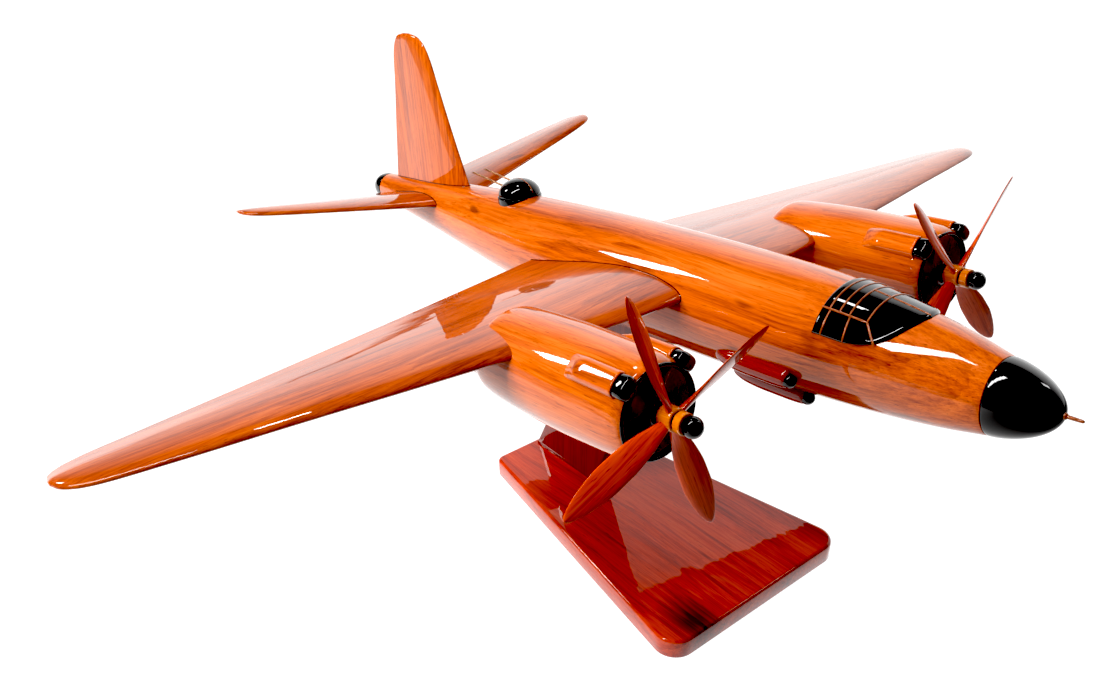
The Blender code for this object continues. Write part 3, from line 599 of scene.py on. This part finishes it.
def seam_line(ring, radius=0.32):
    """Thin bead of dark glue around a root."""
    normals = np.stack([ring[:, 0], np.zeros(len(ring)), ring[:, 2] - body_radius(ring[:, 1])[0]], 1)
    normals /= np.linalg.norm(normals, axis=1)[:, None]
    keep = np.concatenate([[True], np.linalg.norm(np.diff(ring, axis=0), axis=1) > 0.05])
    return sweep(ring[keep], normals[keep], radius, radius, closed=True, sides=8)


def build_surfaces():
    for label, side in SIDES:
        def wing_at(row, foil):
            x, y0, y1, z0, z1, t = row
            drop = WING_DROP[side] * x / SPAN_HALF
            return np.stack([np.full(len(foil), side * x), y0 + (y1 - y0) * foil[:, 0],
                             z0 - drop + (z1 - z0) * foil[:, 0] + t * foil[:, 1]], 1)

        def tail_at(row, foil):
            x, y0, y1, t = row
            return np.stack([np.full(len(foil), side * x), y0 + (y1 - y0) * foil[:, 0],
                             8.6 + TAILPLANE_RISE[side] * x + t * foil[:, 1]], 1)

        for kind, table, at, count in (("wing", WING, wing_at, 170), ("tailplane", TAILPLANE, tail_at, 110)):
            rings = surface_rings(table, at, outside_body, count)
            node = "%s_%s" % (kind, label)
            piece(node, loft(rings), WOOD_X)
            piece(node, seam_line(rings[0]), SEAM_DARK, name=node + "_seam",
                  stands_for=False)

    def fin_at(row, foil):
        z, y0, y1, t = row
        middle = (foil[:, 0] > 0) & (foil[:, 0] < 1)
        height = np.where(middle, foil[:, 1] - 0.1 * np.sqrt(foil[:, 0]), foil[:, 1])
        return np.stack([t * height, y0 + (y1 - y0) * foil[:, 0], np.full(len(foil), z)], 1)

    rings = surface_rings(FIN, fin_at, outside_body, 110)
    piece("fin", loft(rings), WOOD_Z)
    piece("fin", seam_line(rings[0]), SEAM_DARK, name="fin_seam", stands_for=False)


# ---------------------------------------------------------------- canopy, turret, pods

def skin_spots(y, degrees, lift):
    """Points and outward directions on the fuselage skin."""
    y, a = np.asarray(y, float), np.radians(np.asarray(degrees, float))
    zc, r = body_radius(y.ravel())
    zc, r = zc.reshape(y.shape), r.reshape(y.shape)
    out = np.stack([np.sin(a), np.zeros_like(a), np.cos(a)], -1)
    points = np.stack([np.zeros_like(a), y, zc], -1) + out * (r + lift)[..., None]
    return points, out


def build_canopy():
    columns, rows = 97, 49
    degrees = np.linspace(-CANOPY_SIDE, CANOPY_SIDE, columns)
    front = read(CANOPY_FRONT, np.abs(degrees))[:, 0]
    f = np.linspace(0, 1, rows)[:, None]
    y = CANOPY_BACK + (front[None, :] - CANOPY_BACK) * f
    a = np.broadcast_to(degrees[None, :], y.shape)
    rim = np.minimum(CANOPY_BACK - y, y - front[None, :])
    rim = np.minimum(rim, (CANOPY_SIDE - np.abs(a)) * 0.41)
    ease = np.clip(rim / 1.6, 0, 1)
    lift = 0.25 + 0.95 * np.sqrt(1 - (1 - ease) ** 2)
    outer, _ = skin_spots(y, a, lift)
    inner, _ = skin_spots(y, a, np.full(y.shape, -0.6))
    shells = [np.concatenate([outer[i], inner[i][::-1]]) for i in range(rows)]
    piece("canopy_glazing", loft(shells), BLACK, name="canopy_glazing_lacquer", sharp=50)
    rail = 39.0
    bars = [((-132.4, -rail), (-132.4, rail))]
    bars += [((y, -rail), (y, rail)) for y in (-116.6, -120.8, -125.0)]
    for s in (-1, 1):
        bars.append(((-113.2, s * rail), (-133.0, s * rail)))
        bars.append(((-117.2, s * rail), (-117.2, s * 63.5)))
        bars.append(((-125.6, s * rail), (-126.6, s * 63.5)))
        bars.append(((-132.2, s * (rail - 1)), (-138.6, s * 57.0)))
    bars.append(((-124.4, 0.0), (-132.4, 0.0)))
    bars.append(((-132.4, 0.0), (-149.0, 0.0)))
    shapes = []
    for (y0, a0), (y1, a1) in bars:
        t = np.linspace(0, 1, 33 if abs(a1 - a0) > 40 else 13)
        points, normals = skin_spots(y0 + (y1 - y0) * t, a0 + (a1 - a0) * t, np.full(len(t), 1.16))
        shapes.append(sweep(points, normals, 0.50, 0.34))
    piece("canopy_frame", merged(shapes), COPPER, name="canopy_frame_copper", sharp=60)


def build_turret():
    y, base = 95.0, 21.0
    ring = rounded(((9.6, -3.0), (9.6, 3.3), (11.7, 3.3), (11.7, -4.6), (9.6, -4.6), (9.6, -3.0)), 0.6, 5)
    place = CRAFT @ scaled(shift(0, y, base))
    piece("turret_ring", ring_turned(ring, 96), BLACK, place, "turret_ring_lacquer")
    arc = np.radians(np.linspace(90, 0, 26))
    dome = [(11.2 * math.cos(a), 3.6 + 8.3 * math.sin(a)) for a in arc] + [(11.0, 3.3), (0.5, 3.3)]
    piece("turret_dome", turned(rounded(dome, 0.2, 2), 96), BLACK, place,
          "turret_dome_lacquer")
    t = np.radians(np.linspace(14, 152, 40))
    path = np.stack([np.full(40, 0.8), -11.2 * np.cos(t), 3.6 + 8.3 * np.sin(t)], 1)
    out = np.stack([np.zeros(40), -np.cos(t), np.sin(t)], 1)
    piece("turret_dome", sweep(path, out, 0.34, 0.14), COPPER, place, "turret_slot_line",
          stands_for=False)
    for label, side in SIDES:
        aimed_back = Matrix.Rotation(math.radians(-83), 4, "X")
        gun_place = CRAFT @ scaled(shift(side * 4.0, y + 3.0, base + 7.0) @ aimed_back)
        gun = rounded(((0.05, 33.0), (0.42, 32.9), (0.50, 32.2), (0.50, 8.0), (0.62, 7.6), (0.62, 0.0),
                       (0.05, 0.0)), 0.15, 3)
        piece("turret_gun_" + label, turned(gun, 28), BRASS, gun_place,
              "turret_gun_%s_wire" % label)


def build_pods():
    zc, r = body_radius(np.array([-87.0]))
    zc, r = float(zc[0]), float(r[0])
    length = 39.0
    outline = ((0.02, 0.0), (1.6, 0.8), (2.9, 3.6), (4.0, 9.0), (4.55, 18.0), (4.6, 30.0),
               (4.35, length - 2.2), (3.9, length - 0.6), (3.2, length), (0.05, length))
    profile = smooth_rows(outline[:-1], 60).tolist() + [outline[-1]]
    tip = [(2.95 * math.cos(a), 3.1 * math.sin(a)) for a in np.radians(np.linspace(90, 0, 16))]
    tip.append((2.9, -1.0))
    for label, side in SIDES:
        for level, degrees, y_back in (("upper", 117.0, -65.0), ("lower", 149.0, -66.0)):
            a = math.radians(degrees)
            x, z = side * (r + 0.3) * math.sin(a), zc + (r + 0.3) * math.cos(a)
            name = "gun_pod_%s_%s" % (level, label)
            place = ahead(x, y_back, z)
            # the pods' darker wood is partly painted shade
            piece(name, moved(turned(profile, 56), place), WOOD_POD_SHADED)
            x, z = side * (r + 1.4) * math.sin(a), zc + (r + 1.4) * math.cos(a)
            place = CRAFT @ scaled(ahead(x, y_back - length - 0.1, z))
            name = "gun_muzzle_%s_%s" % (level, label)
            piece(name, turned(tip, 40), BLACK, place, name + "_lacquer")


# ---------------------------------------------------------------- engines

def build_nacelle(label, side):
    x = side * ENGINE_X
    t = np.arange(120) * 2 * math.pi / 120
    rings = []
    for y, w, top, bottom in smooth_rows(NACELLE, 170):
        high = np.where(np.cos(t) >= 0, top, bottom)
        rings.append(np.stack([x + w * np.sin(t), np.full(120, y), ENGINE_Z + high * np.cos(t)], 1))
    mouth = []
    for y, radius in ((-96.6, 17.4), (-98.3, 17.4), (-98.7, 17.6), (-98.7, 18.2)):
        mouth.append(np.stack([x + radius * np.sin(t), np.full(120, y), ENGINE_Z + radius * np.cos(t)], 1))
    last = rings[-1]
    centre = last.mean(0)
    rounds = [centre + (last - centre) * math.cos(a) + np.array([0, 1.2, 0]) * math.sin(a)
              for a in np.radians((25, 50, 70, 84))]
    piece("nacelle_" + label, loft(mouth + rings + rounds), WOOD_Y)

    place = CRAFT @ scaled(ahead(x, COWL_Y, ENGINE_Z))
    lip = rounded(((17.3, -1.6), (17.3, 0.1), (18.0, 0.45), (18.75, 0.15), (18.95, -0.6), (18.2, -0.8),
                   (17.9, -1.6), (17.3, -1.6)), 0.4, 4)
    piece("engine_face_" + label, ring_turned(lip, 120), BLACK, place,
          "cowl_lip_%s_lacquer" % label, stands_for=False)
    face = rounded(((17.35, -1.4), (17.35, -0.9), (15.5, -0.6), (9.0, -0.1), (5.2, 0.1), (4.8, 0.8),
                    (1.5, 0.9), (1.4, -1.4)), 0.5, 4)
    piece("engine_face_" + label, turned(face, 96), MAROON, place,
          "engine_face_%s_lacquer" % label)
    shaft = rounded(((0.02, 12.0), (1.0, 12.0), (1.2, 11.8), (1.2, -8.0), (0.02, -8.0)), 0.15, 3)
    piece("prop_shaft_" + label, turned(shaft, 36), STEEL, place, "prop_shaft_%s_steel" % label)

    for spot, degrees in (("outer", side * 44.0), ("inner", -side * 44.0)):
        hub = shift(x, 0, ENGINE_Z) @ Matrix.Rotation(math.radians(degrees), 4, "Y")
        name = "scoop_%s_%s" % (spot, label)
        piece(name, moved(scoop_shape(), hub @ shift(0, SCOOP_Y, 19.4)), WOOD_Y)
        name = "intake_%s_%s" % (spot, label)
        piece(name, moved(plug_shape(), hub @ shift(0, SCOOP_Y - 0.1, 18.9)), BLACK,
              name=name + "_lacquer")


def scoop_shape(length=30.0, width=10.5, height=5.2, count=44):
    """Long low blister: round in plan at the back, upright at the front."""
    a = np.linspace(0, math.pi, 31)
    shape = np.stack([np.sign(np.cos(a)) * np.abs(np.cos(a)) ** 0.62, np.sin(a) ** 0.62], 1)
    rings = []
    for f in (0.5 - 0.5 * np.cos(np.linspace(0, 1, count) * math.pi)):
        round_back = math.sqrt(max(0.0, 1 - (1 - min(f / 0.16, 1)) ** 2))
        w = 0.5 * width * max(round_back, 0.04)
        rise = min(f / 0.42, 1)
        h = height * (0.32 + 0.68 * rise * rise * (3 - 2 * rise)) * max(round_back, 0.04) ** 0.5
        ease = 1.0 - 0.05 * max(0.0, (f - 0.985) / 0.015)
        top = np.stack([shape[:, 0] * w * ease, np.full(len(a), length * (1 - f)), shape[:, 1] * h * ease], 1)
        foot = np.array([(-w * ease, length * (1 - f), -4.0), (w * ease, length * (1 - f), -4.0)])
        rings.append(np.concatenate([top, foot]))
    return loft(rings)


def plug_shape(width=9.4, height=6.6, length=5.8):
    """Stubby block with full round edges at the front."""
    a = np.arange(48) * 2 * math.pi / 48
    c = np.sign(np.cos(a)) * np.abs(np.cos(a)) ** 0.72
    s = np.sign(np.sin(a)) * np.abs(np.sin(a)) ** 0.72
    rings = []
    sections = [(0.0, 0.95), (0.12, 1.0), (0.6, 1.0)]
    for b in np.radians(np.linspace(12, 84, 9)):
        sections.append((0.6 + 0.4 * math.sin(b), 0.42 + 0.58 * math.cos(b)))
    for depth, k in sections:
        z = 0.5 * height * k * s + height * 0.28
        rings.append(np.stack([0.5 * width * k * c, np.full(48, -length * depth), z], 1))
    return loft(rings)


def blade_shape():
    """One blade along +Z, tipped by its own pitch at each radius."""
    rings = []
    t = np.arange(40) * 2 * math.pi / 40
    rows = smooth_rows(BLADE, 90)
    last = rows[-1].copy()
    for r, chord, thick, pitch in list(rows) + [last + (0.15, -0.5, -0.2, 0), last + (0.2, -1.0, -0.4, 0)]:
        p = math.radians(pitch)
        edge = np.sign(np.sin(t)) * np.abs(np.sin(t)) ** 1.25
        x = 0.5 * chord * np.cos(t)
        z = 0.5 * thick * edge
        # across the blade in the propeller plane, then tipped by its pitch
        rings.append(np.stack([x * math.cos(p) - z * math.sin(p),
                               x * math.sin(p) + z * math.cos(p), np.full(40, r)], 1))
    return loft(rings)


def build_propeller(label, side):
    x = side * ENGINE_X
    place = CRAFT @ scaled(ahead(x, PROP_Y, ENGINE_Z))
    hub = rounded(((1.3, -4.4), (3.9, -4.4), (4.4, -3.9), (4.75, -2.4), (4.75, 1.6), (4.45, 2.7), (3.55, 2.9),
                   (3.55, 3.7), (4.25, 3.9), (4.3, 6.9), (4.0, 7.2), (1.3, 7.2)), 0.35, 4)
    piece("prop_hub_" + label, turned(hub, 72), WOOD_HUB, place)
    groove = rounded(((3.4, 2.85), (3.85, 2.95), (3.85, 3.65), (3.4, 3.75), (3.4, 2.85)), 0.1, 3)
    piece("prop_hub_" + label, ring_turned(groove, 72), BLACK, place,
          "prop_groove_%s_lacquer" % label, stands_for=False)
    arc = np.radians(np.linspace(90, 0, 18))
    cap = [(4.1 * math.cos(a), 2.7 + 3.9 * math.sin(a)) for a in arc]
    cap = rounded(cap + [(3.9, 1.0), (3.1, 0.0), (0.05, 0.0)], 0.3, 3)
    cap_place = CRAFT @ scaled(ahead(x, PROP_Y - 7.2 - 0.15, ENGINE_Z))
    piece("prop_cap_" + label, turned(cap, 64), BLACK, cap_place,
          "prop_cap_%s_lacquer" % label)
    for i, letter in enumerate("abcd"):
        degrees = BLADE_ANGLES[label] + 90.0 * i
        spun = Matrix.Rotation(math.radians(degrees), 4, "Y")
        blade_place = CRAFT @ scaled(shift(x, PROP_Y, ENGINE_Z) @ spun)
        piece("prop_blade_%s_%s" % (letter, label), blade_shape(), WOOD_BLADE, blade_place)


# ---------------------------------------------------------------- stand

def rounded_plan(points, radii, steps=14):
    """Outline with rounded corners from corner points listed in order."""
    outline, normals = [], []
    count = len(points)
    for i in range(count):
        here = np.array(points[i], float)
        back = np.array(points[i - 1], float) - here
        front = np.array(points[(i + 1) % count], float) - here
        back /= np.linalg.norm(back)
        front /= np.linalg.norm(front)
        half = 0.5 * math.acos(float(back @ front))
        bisector = (back + front) / np.linalg.norm(back + front)
        centre = here + bisector * (radii[i] / math.sin(half))
        start = here + back * (radii[i] / math.tan(half)) - centre
        stop = here + front * (radii[i] / math.tan(half)) - centre
        a0, a1 = math.atan2(start[1], start[0]), math.atan2(stop[1], stop[0])
        turn = (a1 - a0 + math.pi) % (2 * math.pi) - math.pi
        for s in range(steps + 1):
            a = a0 + turn * s / steps
            spoke = np.array([math.cos(a), math.sin(a)])
            outline.append(centre + spoke * radii[i])
            normals.append(spoke)
    return np.array(outline), np.array(normals)


def build_base():
    corners = [(-BASE_FRONT, -BASE_HALF), (BASE_FRONT, -BASE_HALF),
               (BASE_REAR, BASE_HALF), (-BASE_REAR, BASE_HALF)]
    outline, normals = rounded_plan(corners, (11.0, 11.0, 5.0, 5.0))
    edge = [(3.0, 0.0), (0.6, 0.0), (0.18, 0.18), (0.0, 0.6)]
    top = 1.7
    for b in np.radians(np.linspace(0, 90, 9)):
        edge.append((top * (1 - math.cos(b)), BASE_T - top * (1 - math.sin(b))))
    edge += [(2.0, BASE_T), (4.5, BASE_T)]
    rings = [np.column_stack([outline - normals * inset, np.full(len(outline), z)]) for inset, z in edge]
    cutters = []
    for y in SCREW_Y.values():
        profile = ((1.8, 21.3), (1.8, 3.5), (3.7, 1.6), (3.7, -2.0))
        cutters.append(moved(turned(profile, 40), shift(0, y, 0)))
    piece("base_board", loft(rings), WOOD_BASE, STAND, cut=cutters)


def belly_height(x, y):
    """World height of the fuselage's underside, less a thin gap, over a point of the stand."""
    tilt = math.radians(PITCH)
    depth = np.full(np.shape(x), -26.0)
    for _ in range(4):
        own_y = (y - DATUM[1] - depth * math.sin(tilt)) / math.cos(tilt)
        zc, r = body_radius(own_y, 0.3)
        depth = zc - np.sqrt(np.maximum(r * r - x * x, 0))
    return DATUM[2] - own_y * math.sin(tilt) + depth * math.cos(tilt)


def build_upright():
    half = 24.3
    outline, _ = rounded_plan([(-4.5, -half), (4.5, -half), (4.5, half), (-4.5, half)], (1.3,) * 4, 8)
    sides = []
    for i, p in enumerate(outline):
        q = outline[(i + 1) % len(outline)]
        steps = 14 if np.linalg.norm(q - p) > 8 else 1
        sides += [p + (q - p) * s / steps for s in range(steps)]
    outline = np.array(sides)
    foot = BASE_T + 0.05
    foot_mid, top_mid, top_z = 58.1, -0.5, 132.0

    def slide(y_rel, z):
        return foot_mid + (top_mid - foot_mid) * (z - foot) / (top_z - foot) + y_rel

    height = np.full(len(outline), 115.0)
    for _ in range(8):
        height = belly_height(outline[:, 0], slide(outline[:, 1], height))
    rings = []
    for v in np.concatenate([[0, 0.002], np.linspace(0.02, 0.98, 30), [0.995, 1.0]]):
        inset = 0.985 if v in (0, 1.0) else 1.0
        z = foot + v * (height - foot)
        y = slide(outline[:, 1] * (1 - (1 - inset) * 0.2), z)
        rings.append(np.stack([outline[:, 0] * inset, y, z], 1))
    bore = moved(turned(((2.8, -0.3), (2.8, 30.0)), 48),
                 shift(*DATUM) @ Matrix.Rotation(math.radians(-PITCH), 4, "X") @ shift(0, DOWEL_Y, -40.0))
    piece("upright", loft(rings), WOOD_POST, STAND, cut=[bore])
    bead_y = np.linspace(slide(-half + 1.5, foot), slide(half - 1.5, foot), 40)
    beads = []
    for s in (-1, 1):
        path = np.stack([np.full(40, s * 4.6), bead_y, np.full(40, BASE_T + 0.12)], 1)
        beads.append(sweep(path, np.tile([0.0, 0, 1], (40, 1)), 0.35, 0.28))
    piece("upright", merged(beads), WOOD_POST, STAND, "upright_foot_bead", stands_for=False)


def build_stand():
    build_base()
    build_upright()
    dowel = rounded(((0.02, 26.0), (1.9, 26.0), (2.5, 25.4), (2.5, 0.0), (0.02, 0.0)), 0.3, 3)
    place = CRAFT @ scaled(shift(0, DOWEL_Y, -40.0))
    piece("mount_dowel", turned(dowel, 48), WOOD_BLADE, place)
    for label, y in SCREW_Y.items():
        screw = rounded(((0.02, 21.0), (0.5, 20.6), (1.4, 17.4), (1.4, 3.3), (3.3, 1.35), (3.35, 0.55),
                         (0.02, 0.5)), 0.15, 3)
        slot_cut = loft([[(-4, -0.45, z), (4, -0.45, z), (4, 0.45, z), (-4, 0.45, z)] for z in (-1.0, 1.15)])
        piece("stand_screw_" + label, turned(screw, 48), STEEL, scaled(shift(0, y, 0)),
              "stand_screw_%s_steel" % label, cut=[slot_cut])


build_fuselage()
build_nose_and_tail()
build_surfaces()
build_canopy()
build_turret()
build_pods()
for label, side in SIDES:
    build_nacelle(label, side)
    build_propeller(label, side)
build_stand()


# ---------------------------------------------------------------- stage, lights and camera

def aim(obj, eye, target, roll=0.0):
    back = (Vector(eye) - Vector(target)).normalized()
    right = Vector((0, 0, 1)).cross(back).normalized()
    up = back.cross(right)
    turn = Matrix((right, up, back)).transposed().to_4x4()
    obj.matrix_world = Matrix.Translation(Vector(eye)) @ turn @ Matrix.Rotation(math.radians(roll), 4, "Z")


def softbox(name, eye, target, size, power, along=None, hidden=False):
    """Area light; along turns its first side, hidden keeps it out of reflections."""
    light = bpy.data.lights.new(name, "AREA")
    light.shape = "RECTANGLE"
    light.size, light.size_y = size
    light.energy = power
    obj = bpy.data.objects.new(name, light)
    bpy.context.scene.collection.objects.link(obj)
    back = (Vector(eye) - Vector(target)).normalized()
    side = Vector(along) if along else Vector((0, 0, 1)).cross(back)
    side = (side - back * side.dot(back)).normalized()
    turn = Matrix((side, back.cross(side), back)).transposed().to_4x4()
    obj.matrix_world = Matrix.Translation(Vector(eye)) @ turn
    obj.visible_glossy = not hidden
    return obj


def build_floor():
    """Plain paper: white to the camera, and brighter in reflections than as a light."""
    mesh = bpy.data.meshes.new("floor")
    mesh.from_pydata([(-6, -6, 0), (6, -6, 0), (6, 6, 0), (-6, 6, 0)], [], [(0, 1, 2, 3)])
    floor = bpy.data.objects.new("floor", mesh)
    floor.location.z = -0.0002
    bpy.context.scene.collection.objects.link(floor)
    n = Nodes("floor_paper")
    coords = n.add("TexCoord").outputs["Object"]
    fibre = n.noise(coords, 700.0, 2.0)
    place = n.add("SeparateXYZ", {"Vector": coords})
    sheet = n.math("MULTIPLY", n.levels(place.outputs["X"], -0.56, -0.54),
                   n.levels(place.outputs["Y"], -0.26, -0.08))
    path = n.add("LightPath")
    strength = n.math("MULTIPLY_ADD", path.outputs["Is Glossy Ray"], 0.75, 0.40)
    lit = n.math("MULTIPLY_ADD", sheet, strength, 0.06)
    n.set(Base_Color=n.ramp(fibre, ((0.2, (0.24, 0.24, 0.24)), (0.8, (0.26, 0.26, 0.26)))))
    n.set(Emission_Strength=n.math("MAXIMUM", lit, path.outputs["Is Camera Ray"]))
    n.set(Roughness=0.9, Specular_IOR_Level=0.1, Emission_Color=(1, 1, 1, 1))
    mesh.materials.append(n.mat)


def build_world():
    """White to the camera; for everything else a bright backdrop on one side, open above."""
    world = bpy.data.worlds.new("studio")
    bpy.context.scene.world = world
    world.use_nodes = True
    tree = world.node_tree
    tree.nodes.clear()

    def add(kind, **settings):
        node = tree.nodes.new("ShaderNode" + kind)
        for key, value in settings.items():
            setattr(node, key, value)
        return node

    out = add("OutputWorld")
    seen, lit = add("Background"), add("Background")
    seen.inputs[0].default_value = (1, 1, 1, 1)
    coords = add("TexCoord")
    dot = add("VectorMath", operation="DOT_PRODUCT")
    dot.inputs[1].default_value = (0.90, 0.43, 0.0)
    split = add("SeparateXYZ")
    across = add("MapRange", interpolation_type="SMOOTHSTEP")
    upward = add("MapRange", interpolation_type="SMOOTHSTEP")
    for node, low, high, to_low, to_high in ((across, 0.30, 0.90, 0.0, 1.90), (upward, 0.60, 0.76, 1.0, 0.0)):
        node.inputs["From Min"].default_value = low
        node.inputs["From Max"].default_value = high
        node.inputs["To Min"].default_value = to_low
        node.inputs["To Max"].default_value = to_high
    product = add("Math", operation="MULTIPLY_ADD")
    product.inputs[2].default_value = 0.06
    tree.links.new(coords.outputs["Generated"], dot.inputs[0])
    tree.links.new(coords.outputs["Generated"], split.inputs[0])
    tree.links.new(dot.outputs["Value"], across.inputs["Value"])
    tree.links.new(split.outputs["Z"], upward.inputs["Value"])
    tree.links.new(across.outputs["Result"], product.inputs[0])
    tree.links.new(upward.outputs["Result"], product.inputs[1])
    tree.links.new(product.outputs[0], lit.inputs["Strength"])
    path, mix = add("LightPath"), add("MixShader")
    tree.links.new(path.outputs["Is Camera Ray"], mix.inputs[0])
    tree.links.new(lit.outputs[0], mix.inputs[1])
    tree.links.new(seen.outputs[0], mix.inputs[2])
    tree.links.new(mix.outputs[0], out.inputs["Surface"])


def build_camera():
    data = bpy.data.cameras.new("camera")
    data.lens = 34.47
    data.sensor_width = 36.0
    data.clip_start, data.clip_end = 0.01, 50.0
    camera = bpy.data.objects.new("camera", data)
    bpy.context.scene.collection.objects.link(camera)
    aim(camera, (-0.3176, -0.3196, 0.3605), (-0.0431, 0.0208, 0.1182), -0.886)
    bpy.context.scene.camera = camera


build_floor()
build_world()
build_camera()
softbox("strip_overhead", (-0.48, 0.08, 1.02), (-0.01, -0.15, 0.17), (0.82, 0.085), 6.0, (0.77, -0.29, 0.0))
softbox("box_rear_left", (-0.60, 0.95, 0.80), (-0.03, 0.0, 0.16), (0.13, 0.24), 3.5)
softbox("box_right", (0.75, -0.45, 0.95), (0.0, -0.10, 0.16), (0.10, 0.22), 0.7)
softbox("box_top", (0.05, 0.40, 1.15), (0.0, 0.0, 0.16), (0.07, 0.12), 0.8)
softbox("fill_left", (-1.37, 0.44, 0.56), (0.0, 0.0, 0.13), (0.5, 0.3), 22.5, hidden=True)
softbox("fill_top", (-0.15, 0.10, 1.60), (0.0, 0.0, 0.13), (1.0, 1.0), 13.0, hidden=True)
view = bpy.context.scene.view_settings
view.view_transform = "Standard"
view.use_curve_mapping = True
view.curve_mapping.black_level = (0.045,) * 3
